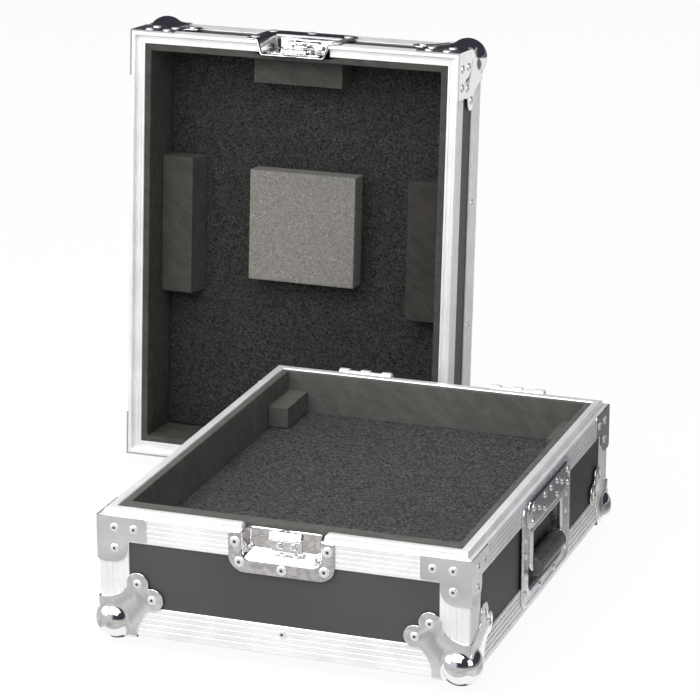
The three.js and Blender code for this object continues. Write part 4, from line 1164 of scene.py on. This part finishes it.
def latch_mount():
    """Plate on the dish's floor with its four rivets, the axle, and two pairs of rails
    that the hook slides between."""
    seat = MOUNT_OUT - 0.1
    plate = rounded_rectangle(half_x=30, low=-20, high=27, radius=5)
    parts = [cut_sheet(plate, FLOOR_OUT, MOUNT_OUT, roll=0.4), axle(2.6, seat, front=-6.5)]
    parts += [bar(s * 9, 1.5, -13, 22, seat, front=-11.4, roll=0.8) for s in (-1, 1)]
    parts += [bar(s * 16.3, 1, -15, 22, seat, front=-9.1, roll=0.6) for s in (-1, 1)]
    return parts + [dome_at(x, y, MOUNT_OUT, radius=2.6, height=1.3) for x in (-24, 24)
                    for y in (-14, 21)]


def hook_strap():
    """Strap on both sides of the axle slot, joined below and above it, with the nose
    turned in at its end and a pressed rib along each side."""
    head = rounded_rectangle(half_x=15, low=3.2, high=30.5, radius=2.0)
    arm = rounded_rectangle(half_x=6.0, low=-13, high=3.3, radius=2.0)
    parts = [cut_sheet(outline, HOOK_BACK, HOOK_FRONT, roll=0.5) for outline in
             (head, arm + np.array([-8.95, 0]), arm + np.array([8.95, 0]))]
    parts.append(bar(0, 15, 28.5, 30.5, MOUNT_OUT, HOOK_BACK, roll=0.8))
    parts += [bar(s * 11, 1.6, 8, 26, HOOK_FRONT - 0.2, HOOK_FRONT + 0.25, roll=1.2)
              for s in (-1, 1)]
    return parts


def rotor():
    """Disc: a profile with a rolled edge, a ring groove and a sunk middle, turned
    round, and the two ears that hold the wing."""
    profile = np.array([
        [3.0, -8.8], [11.6, -8.8], [12.3, -8.5], [12.5, -7.9], [12.3, -6.9], [11.7, -6.3],
        [10.9, -6.2], [10.2, -6.5], [9.8, -6.9], [7.4, -6.9], [6.9, -6.6], [6.4, -6.3],
        [5.0, -6.2], [4.2, -6.5], [3.0, -6.9], [3.0, -8.8]])
    ears = [bar(s * 8.5, 0.8, -2, 2, EAR_BACK, front=-2.0, roll=0.5) for s in (-1, 1)]
    return [turned_round(profile, 48)] + ears


def wing():
    """Folding wing: two lobes with a rolled edge and a pressed middle, and the pin
    that turns in the ears."""
    lobe, lobe_x, lobe_y = 8, 12, -7
    top, waist = math.degrees(math.asin(-lobe_y / lobe)), 30.0
    outline = np.concatenate([
        arc((-lobe_x, lobe_y), lobe, 180 - top, 360 - waist, 26)[1:],
        arc((lobe_x, lobe_y), lobe, 180 + waist, 360 + top, 26)[:-1],
        np.array([[6.6, -0.1], [6.6, -3.9], [-6.6, -3.9], [-6.6, -0.1]])])
    plate = cut_sheet(outline, back=-5.9, front=-3.7, roll=0.8)
    pressed = [dome_at(x, -8.2, -3.75, radius=5.2, height=0.5, count=24)
               for x in (-lobe_x, lobe_x)]
    pin_half, pin_radius, pin_out = 15.7, 1.2, -4.7
    along = np.linspace(-pin_half, pin_half, 6)[:, None]
    turn = np.linspace(0, 2 * np.pi, 14, endpoint=False)[None]
    pin = np.stack([along + 0 * turn, pin_radius * np.cos(turn) + 0 * along,
                    pin_out + pin_radius * np.sin(turn) + 0 * along], -1)
    return [plate, grid(pin, wrap_columns=True, cap_rows=True)] + pressed


for name, parts, body, slot, node in (
    ("lid_latch_carrier", latch_mount(), "lid", "steel", "lid_latch_mount"),
    ("lid_latch_strap", hook_strap(), "latch_hook", "steel", "lid_latch_hook"),
    ("lid_latch_disc", rotor(), "latch_rotor", "chrome", "lid_latch_rotor"),
    ("lid_latch_butterfly", wing(), "latch_wing", "chrome", "lid_latch_wing"),
):
    piece(name, parts, in_lid_dish, body, LATCH_WORK, slot, node=[node])

# Hinges: the base keeps the rod, the lid's knuckles are bored for it

KNUCKLE = LID_STAND / (1 + math.sin(LID_TURN))
HINGE_WIDTH, KNUCKLES = 61.0, 5
LEAF, ROLLED = 1.8, 1.7
HINGE_SPOTS = [(-20, 13.5), (20, 13.5)]
HINGE_SHARE = 0.458         # of half the case's width, from its middle to each hinge


def knuckle(middle, half, rim, radius, bore):
    """A rounded ring section turned round the hinge axis, and the rolled sheet that
    joins it to the leaf."""
    ring = np.array([[bore, 0.5 - half], [bore + 0.4, -half], [radius - 0.8, -half],
                     [radius, 0.8 - half], [radius, half - 0.8], [radius - 0.8, half],
                     [bore + 0.4, half], [bore, half - 0.5]])
    angle = np.linspace(0, 2 * math.pi, 36, endpoint=False)
    r, x = ring[:, :1], ring[:, 1:]
    turned = np.stack([x + 0 * angle + middle, rim + r * np.cos(angle),
                       KNUCKLE + r * np.sin(angle)], -1)
    foot = rim - radius
    sheet = np.array([[foot, GAP], [foot, KNUCKLE], [foot + ROLLED, KNUCKLE],
                      [foot + ROLLED, LEAF], [foot + 4.0, GAP]])
    ends = np.stack([np.column_stack([np.full(5, middle + e), sheet]) for e in (-half, half)])
    return [grid(turned, wrap_rows=True, wrap_columns=True),
            grid(ends, wrap_columns=True, cap_rows=True)]


def hinge(rim, knuckles, radius, bore):
    """Leaf with rounded corners, its rivets and knuckles, in (across, up, out)."""
    step = HINGE_WIDTH / KNUCKLES
    leaf = rounded_rectangle(HINGE_WIDTH / 2, rim - 20, rim - 0.3, radius=2.5)
    parts = [cut_sheet(leaf, GAP, GAP + LEAF, roll=0.6)]
    for index in knuckles:
        middle = -HINGE_WIDTH / 2 + step * (index + 0.5)
        parts += knuckle(middle, step / 2 - GAP, rim, radius, bore)
    return parts + [dome_at(x, rim - y, GAP + LEAF, radius=3.0, height=HEAD_HEIGHT)
                    for x, y in HINGE_SPOTS]


def hinge_rod(rim, radius=4.2):
    """Rod along the hinge axis: a chamfered profile turned round z and laid along x."""
    half = HINGE_WIDTH / 2 - 2.1
    profile = np.array([[0, -half], [radius - 1, -half], [radius, 1 - half],
                        [radius, half - 1], [radius - 1, half], [0, half]])
    points, faces = turned_round(profile, 24)
    return points[:, [2, 0, 1]] + np.array([0, rim, KNUCKLE]), faces


base_hinge = hinge(BASE_HEIGHT, (0, 2, 4), radius=KNUCKLE * 0.8, bore=3.9)
base_hinge.append(hinge_rod(BASE_HEIGHT))
lid_hinge = hinge(LID_HEIGHT, (1, 3), radius=KNUCKLE, bore=4.6)
for half, shape, place, change in (("base", base_hinge, on_rear, in_base),
                                   ("lid", lid_hinge, on_front, in_lid)):
    for side, sign in (("left", -1), ("right", 1)):
        spread = np.array([sign * HALF_X * HINGE_SHARE, 0, 0])
        piece(f"{half}_hinge_leaf_{side}", shape, lambda p: change(place(p) + spread), half,
              HINGE_STEEL, "steel", node=[f"{half}_hinge_{side}"], smooth=40)

# Feet


def foot():
    """Rubber foot: a profile with a rounded tread and a sunk screw cup, turned round."""
    profile = np.array([
        [0, -9.0], [4.5, -9.0], [5.2, -15.4], [6.0, -16.0], [13.6, -16.0], [14.8, -15.5],
        [15.4, -14.4], [17.6, -2.0], [18.0, 0.6], [17.6, 1.4], [0, 1.5]])
    return turned_round(profile, 40)


FOOT_IN_X, FOOT_IN_Y = 62, 92
for spot, sx, sy in (("front_left", -1, -1), ("front_right", 1, -1),
                     ("rear_left", -1, 1), ("rear_right", 1, 1)):
    at = np.array([sx * (HALF_X - FOOT_IN_X), sy * (HALF_Y - FOOT_IN_Y), 0])
    piece(f"base_rubber_foot_{spot}", [foot()], lambda p: in_base(p + at), "base",
          FOOT_RUBBER, "rubber", node=[f"base_foot_{spot}"])

# Foam


def unevenness(points, size, seed):
    """Slow waves of a cut foam surface: the mean of five sines of random direction and
    phase, whose waves are a few times size long; from -1 to 1."""
    rng = np.random.default_rng(seed)
    wave = rng.normal(size=(5, 3)) / size
    phase = rng.uniform(0, 2 * np.pi, 5)
    return np.sin(points @ wave.T + phase).mean(-1)


def foam_block(low, high, radius, sag, seed, count=26):
    """Cut foam block: a cube's six grids are spread to the box, rounded at its edges
    by radius and drawn in there by sag in slow waves. The grids are finer towards
    their edges."""
    low, high = np.array(low, float), np.array(high, float)
    middle, half = (low + high) / 2, (high - low) / 2
    t = np.linspace(-1, 1, count)
    t = np.sign(t) * (1 - (1 - np.abs(t)) ** 1.5)
    a, b = np.meshgrid(t, t, indexing="ij")
    parts = []
    for axis in range(3):
        for sign in (-1, 1):
            cube = np.full(a.shape + (3,), float(sign))
            cube[..., (axis + 1) % 3] = a
            cube[..., (axis + 2) % 3] = b * sign
            full = cube * half
            core = np.clip(full, -(half - radius), half - radius)
            off = full - core
            unit = off / np.maximum(np.linalg.norm(off, axis=-1, keepdims=True), 1e-9)
            point = middle + (core + unit * radius)
            wave = unevenness(point, 30.0, seed)[..., None]
            parts.append(grid(point - unit * sag * (0.5 + 0.5 * wave)))
    return parts


def lining(insets, low, high, step, seed, cut_side):
    """Four foam walls in one ring. Insets are of the inner faces: left, right, latch
    side and hinge side. The section runs up the inner face, over a rounded top, down
    to a step under the rim and down the outer face; stations along each side let the
    slow waves of the inner face show. On cut_side (-1 or 1) the outer face stands back
    behind the latch dish."""
    stations, levels, waviness = 40, 14, 0.35
    under_rim, behind_rim = 14.2, 9.1
    cut_half, cut_depth, cut_reach = 44, 17.0, 15
    left, right, minus, plus = insets
    inner = np.stack([np.zeros(levels), np.linspace(low, high - 1.2, levels)], -1)
    rolled = np.array([[0.15, high - 0.6], [0.6, high - 0.15], [1.2, high]])
    section_in = np.concatenate([inner, rolled])
    corners_in = np.array([[HALF_X - right, minus - HALF_Y], [HALF_X - right, HALF_Y - plus],
                           [left - HALF_X, HALF_Y - plus], [left - HALF_X, minus - HALF_Y]])

    def ring(corners):
        """Stations along the four sides, evenly spread between the corners."""
        share = np.linspace(0, 1, stations)[None, :-1, None]
        onward = np.roll(corners, -1, 0) - corners
        return (corners[:, None] + onward[:, None] * share).reshape(-1, 2)

    def outer_ring(inset):
        """Stations at the same inset from all four sides."""
        return ring(CORNER_SIGNS * np.array([HALF_X - inset, HALF_Y - inset]))

    inside, top, bottom = ring(corners_in), outer_ring(under_rim), outer_ring(behind_rim)
    towards = top - inside
    unit = towards / np.linalg.norm(towards, axis=1, keepdims=True)
    rows = [at_depth(inside + unit * distance, z) for distance, z in section_in]
    rows += [at_depth(inside + towards * share, high) for share in (0.35, 0.7, 0.97)]
    near = (np.abs(top[:, 0]) < cut_half) & (np.sign(top[:, 1]) == cut_side) \
        & (np.abs(top[:, 1]) > HALF_Y - cut_reach)
    for curve in (top, bottom, rows[-1]):
        curve[near, 1] = cut_side * (HALF_Y - cut_depth)
    rows += [at_depth(top, high - 0.6), at_depth(top, step),
             at_depth(bottom, step), at_depth(bottom, low)]
    points = np.stack(rows)
    wave = unevenness(points, 40.0, seed)
    middle = points[..., :2] / np.array([HALF_X, HALF_Y])
    inner_rows = np.arange(len(rows))[:, None] < len(section_in)
    points[..., :2] += np.sign(middle) * (inner_rows * waviness * (wave + 1))[..., None] * (
        np.abs(np.abs(middle) - np.abs(middle).max(-1, keepdims=True)) < 1e-9)
    return grid(points, wrap_rows=True, wrap_columns=True)


def foam_piece(name, parts, half, finish, slot, node):
    """Stiff cut foam, which fills its form."""
    made = piece(name, parts, in_base if half == "base" else in_lid, half, finish, slot,
                 node=[node], smooth=60)


LINING, CLEAR = 21.5, 0.3
FLOOR, PAD_TOP, LID_PAD_TOP = 9.2, 83, 17.5
PAD_X, PAD_FRONT, PAD_REAR = HALF_X - LINING - CLEAR, 33.3 - HALF_Y, HALF_Y - 18.8
WEDGE_WIDTH, WEDGE_LENGTH, WEDGE_FOOT, WEDGE_TOP = 22.5, 62, 83.2, 106.5
foam_piece("base_lining",
           [lining((LINING, LINING, 33, 18.5), FLOOR, high=127.5, step=113.5, seed=3,
                   cut_side=-1)],
           "base", LIT_BASE_FOAM, "foam", "base_foam_lining")
foam_piece("base_cushion",
           foam_block((-PAD_X, PAD_FRONT, FLOOR), (PAD_X, PAD_REAR, PAD_TOP),
                      radius=1.5, sag=0.5, seed=5, count=60),
           "base", FLOOR_FOAM, "pad_foam", "base_floor_pad")
for side, low_x, seed in (("left", -PAD_X, 7), ("right", PAD_X - WEDGE_WIDTH, 11)):
    wedge = foam_block((low_x, PAD_REAR - WEDGE_LENGTH, WEDGE_FOOT),
                       (low_x + WEDGE_WIDTH, PAD_REAR, WEDGE_TOP),
                       radius=0.8, sag=0.4, seed=seed)
    foam_piece(f"base_wedge_{side}", wedge, "base", LIT_BASE_FOAM, "foam",
               f"base_corner_block_{side}")

LID_X, LID_Y = HALF_X - LINING - CLEAR, HALF_Y - LINING - CLEAR
BLOCK_FOOT, BLOCK_TOP = LID_PAD_TOP + CLEAR, 43.5
foam_piece("lid_lining",
           [lining((LINING,) * 4, FLOOR, high=79.0, step=69.0, seed=13, cut_side=1)],
           "lid", WALL_FOAM, "foam", "lid_foam_lining")
foam_piece("lid_cushion",
           foam_block((-LID_X, -LID_Y, FLOOR), (LID_X, LID_Y, LID_PAD_TOP),
                      radius=1.2, sag=0.3, seed=17, count=60),
           "lid", LID_FOAM, "pad_foam", "lid_face_pad")


def skewed(part, low_x, foot, top):
    """Leans the inner face of a block: its width goes in a straight line from foot at
    its foot to top at its top."""
    def change(p):
        """x is drawn out from low_x by the width at its height."""
        rise = np.clip((p[:, 2] - BLOCK_FOOT) / (BLOCK_TOP - BLOCK_FOOT), 0, 1)
        width = foot + (top - foot) * rise
        return np.stack([low_x + (p[:, 0] - low_x) * width / foot, p[:, 1], p[:, 2]], -1)
    return moved(part, change)


LEFT_FOOT, LEFT_TOP = 44, 36.5
left_block = foam_block((-LID_X, -58.5, BLOCK_FOOT), (-LID_X + LEFT_FOOT, 97.5, BLOCK_TOP),
                        radius=0.8, sag=0.4, seed=19)
foam_piece("lid_pillar_left", [skewed(p, -LID_X, LEFT_FOOT, LEFT_TOP) for p in left_block],
           "lid", WALL_FOAM, "foam", "lid_block_left")
for name, node, low, high, finish, slot, seed in (
    ("lid_pillar_right", "lid_block_right", (LID_X - 44.5, -64.5, BLOCK_FOOT),
     (LID_X, 92.5, BLOCK_TOP), SHADED_PILLAR_FOAM, "foam", 23),
    ("lid_pillar_latch_side", "lid_block_latch_side", (-58, LID_Y - 31, BLOCK_FOOT),
     (46, LID_Y, 49), WALL_FOAM, "foam", 29),
    ("lid_square_cushion", "lid_block_centre", (-62.5, -35, BLOCK_FOOT),
     (62.5, 90, BLOCK_TOP), GREY_FOAM, "grey_foam", 31),
):
    foam_piece(name, foam_block(low, high, radius=0.9, sag=0.4, seed=seed), "lid", finish,
               slot, node)

# Studio

WHITE = (1, 1, 1, 1)
FLOOR_HALF = 12.0           # metres
PAPER = (0.86, 0.86, 0.86, 1)
# greys of the room as mirrors see it: painted reflections, with painted shade on the right and
# under the case
TABLE_LOW, TABLE_HIGH = (0.37, 0.36, 0.355, 1), (0.73, 0.72, 0.72, 1)
TABLE_SHADE, TABLE_FAR = (0.15, 0.145, 0.15, 1), (0.84, 0.84, 0.84, 1)
ROOM_FAR, PAINTED_CASE_SHADOW = (0.06, 0.06, 0.065, 1), (0.12, 0.11, 0.14, 1)
WALL, CEILING, WINDOW = (0.32, 0.32, 0.32, 1), (0.04, 0.038, 0.05, 1), (0.60, 0.62, 0.68, 1)
# where each zone of the table starts and is full, in metres along x or y
PAPER_EDGE, CASE_SHADOW_EDGE = (0.021, 0.029), (-0.005, -0.001)
NEAR_END, PAINTED_DIM_X, SHADE_X, SHADE_Y = (0.55, 0.75), (0.42, 0.75), (0.29, 0.36), (0.0, 0.24)
FAR_Y, FAR_X, ROOM_Y = (0.6, 0.85), (0.15, 0.3), (2.6, 3.4)


def painted_table_reflections(n, place):
    """Painted reflections, what mirrors see below them: white paper round the case, a
    cloudy table beyond it, painted shade on the right and under the case, brighter at
    the far right, and a dark room."""
    lies = n.split(place)
    middle = tuple(BASE_ORIGIN * MM * np.array([1, 1, 0]))
    off = n.split(n.vector("ABSOLUTE", n.vector("SUBTRACT", place, middle), (0, 0, 0)))
    beyond = n.math("MAXIMUM", n.math("SUBTRACT", off["X"], HALF_X * MM),
                    n.math("SUBTRACT", off["Y"], HALF_Y * MM))
    clouds = n.noise(place, scale=11.0, detail=6.0, roughness=0.7)
    table = n.mix(n.ramp(clouds, 0.32, 0.68), TABLE_LOW, TABLE_HIGH)
    # painted shade on the table to the right, where the light falls off
    near = n.math("SUBTRACT", 1.0, n.ramp(lies["Y"], *NEAR_END))
    painted_dim = n.times(n.ramp(lies["X"], *PAINTED_DIM_X), near)
    shade = n.times(n.times(n.ramp(lies["X"], *SHADE_X), near), n.ramp(lies["Y"], *SHADE_Y))
    table = n.mix(n.math("MAXIMUM", painted_dim, shade), table, TABLE_SHADE)
    far = n.times(n.ramp(lies["Y"], *FAR_Y), n.ramp(lies["X"], *FAR_X))
    table = n.mix(far, table, TABLE_FAR)
    table = n.mix(n.ramp(lies["Y"], *ROOM_Y), table, ROOM_FAR)
    table = n.mix(n.ramp(beyond, *PAPER_EDGE), WHITE, table)
    # painted shadow of the case under it
    return n.mix(n.ramp(beyond, *CASE_SHADOW_EDGE), PAINTED_CASE_SHADOW, table)


def floor():
    """White paper with a faint shadow: nearly all emission to the camera, plain diffuse
    to the light, and the painted table reflections, with their painted shade, to mirrors."""
    mesh = bpy.data.meshes.new("floor")
    mesh.from_pydata([(x * FLOOR_HALF, y * FLOOR_HALF, 0) for x, y in
                      ((-1, -1), (1, -1), (1, 1), (-1, 1))], [], [(0, 1, 2, 3)])
    made = in_scene("floor", mesh)
    finish = bpy.data.materials.new("white paper")
    n = emptied(finish)
    ray = n.add("ShaderNodeLightPath").outputs
    tones = painted_table_reflections(n, n.place())
    paper = n.add("ShaderNodeBsdfDiffuse", inputs={"Color": PAPER})
    light = n.add("ShaderNodeEmission", inputs={
        "Color": n.mix(ray["Is Glossy Ray"], WHITE, tones), "Strength": 1.0})
    shown = n.math("MAXIMUM", n.times(ray["Is Camera Ray"], 0.95), ray["Is Glossy Ray"])
    both = n.add("ShaderNodeMixShader", inputs={
        0: shown, 1: paper.outputs[0], 2: light.outputs[0]})
    n.add("ShaderNodeOutputMaterial", inputs={0: both.outputs[0]})
    mesh.materials.append(finish)
    made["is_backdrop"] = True


def world():
    """White to the camera. To the case it is a grey wall that turns to a dark ceiling,
    with a pale window low on the left in front, as the ball corners show."""
    made = bpy.data.worlds.new("studio")
    bpy.context.scene.world = made
    n = emptied(made)
    ray = n.add("ShaderNodeLightPath").outputs
    towards = n.add("ShaderNodeTexCoord").outputs["Generated"]
    up = n.split(towards)["Z"]
    room = n.mix(n.ramp(up, 0.0, 0.05), WALL, CEILING)
    left = n.vector("DOT_PRODUCT", towards, (-0.87, -0.5, 0.0), output="Value")
    room = n.mix(n.times(n.ramp(left, 0.5, 0.72), n.ramp(up, 0.6, 0.5)), room, WINDOW)
    seen = n.mix(ray["Is Camera Ray"], room, WHITE)
    back = n.add("ShaderNodeBackground", inputs={"Color": seen, "Strength": 1.0})
    n.add("ShaderNodeOutputWorld", inputs={0: back.outputs[0]})


# name, place, aim, size in metres, power in watts
LAMPS = [
    ("front", (-0.2, -2.1, 2.3), (0, 0.0, 0.1), (2.4, 2.4), 92),
    ("left", (-2.4, -1.4, 1.4), (0, 0, 0.1), (2.2, 1.8), 34),
    ("right", (2.6, -1.3, 1.0), (0.1, 0, 0.1), (1.0, 1.2), 13),
    ("top", (0.0, 0.75, 2.6), (0, 0.75, 0), (2.6, 3.3), 50),
    ("card", (-0.075, -0.225, 0.55), (-0.075, -0.225, 0.0), (0.95, 0.85), 5.2),
]


def lamps():
    """Broad soft lamps, unseen by the camera. Mirrors see a small card over the dish in
    place of the broad lamp overhead, and the card lights nothing else."""
    for name, place, aim, size, power in LAMPS:
        data = bpy.data.lights.new(name, "AREA")
        data.shape = "RECTANGLE"
        data.size, data.size_y = size
        data.energy = power
        lamp = in_scene(name, data)
        lamp.visible_glossy = name != "top"
        lamp.visible_diffuse = name != "card"
        lamp.visible_camera = False
        lamp.location = place
        lamp.rotation_mode = "QUATERNION"
        way = Vector(np.array(aim) - np.array(place))
        lamp.rotation_quaternion = way.to_track_quat("-Z", "Y")


# The photograph's camera, as fitted to the case's edges and corners

AZIMUTH, ELEVATION, ROLL = (math.radians(a) for a in (19.7084, 17.7841, -0.1142))
FOCAL_PIXELS, FRAME_PIXELS, SENSOR = 3198.6403, 700, 36
AIM = BASE_ORIGIN + np.array([190 - HALF_X, 228 - HALF_Y, 95])
EYE_RIGHT, EYE_UP, EYE_BACK = -11.2258, 139.1843, 3260.8407   # from the aim, turned


def camera():
    """A camera turned by azimuth, elevation and roll. Its eye is so far right of the
    aim, above it and back from it, along its own axes."""
    sa, ca = math.sin(AZIMUTH), math.cos(AZIMUTH)
    se, ce = math.sin(ELEVATION), math.cos(ELEVATION)
    back = np.array([sa * ce, -ca * ce, se])
    right = np.array([ca, sa, 0.0])
    up = np.cross(back, right)
    right, up = (math.cos(ROLL) * right + math.sin(ROLL) * up,
                 -math.sin(ROLL) * right + math.cos(ROLL) * up)
    eye = AIM + EYE_RIGHT * right + EYE_UP * up + EYE_BACK * back
    data = bpy.data.cameras.new("camera")
    data.sensor_width = SENSOR
    data.lens = SENSOR * FOCAL_PIXELS / FRAME_PIXELS
    data.clip_end = 100
    made = in_scene("camera", data)
    made.rotation_mode = "QUATERNION"
    made.rotation_quaternion = Matrix(np.column_stack([right, up, back]).tolist()).to_quaternion()
    made.location = (eye * MM).tolist()
    bpy.context.scene.camera = made


floor()
world()
lamps()
camera()
bpy.context.scene.view_settings.view_transform = "Standard"

low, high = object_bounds()
{"cad": [list(cad_low), list(cad_high)], "visual": [list(low), list(high)]}
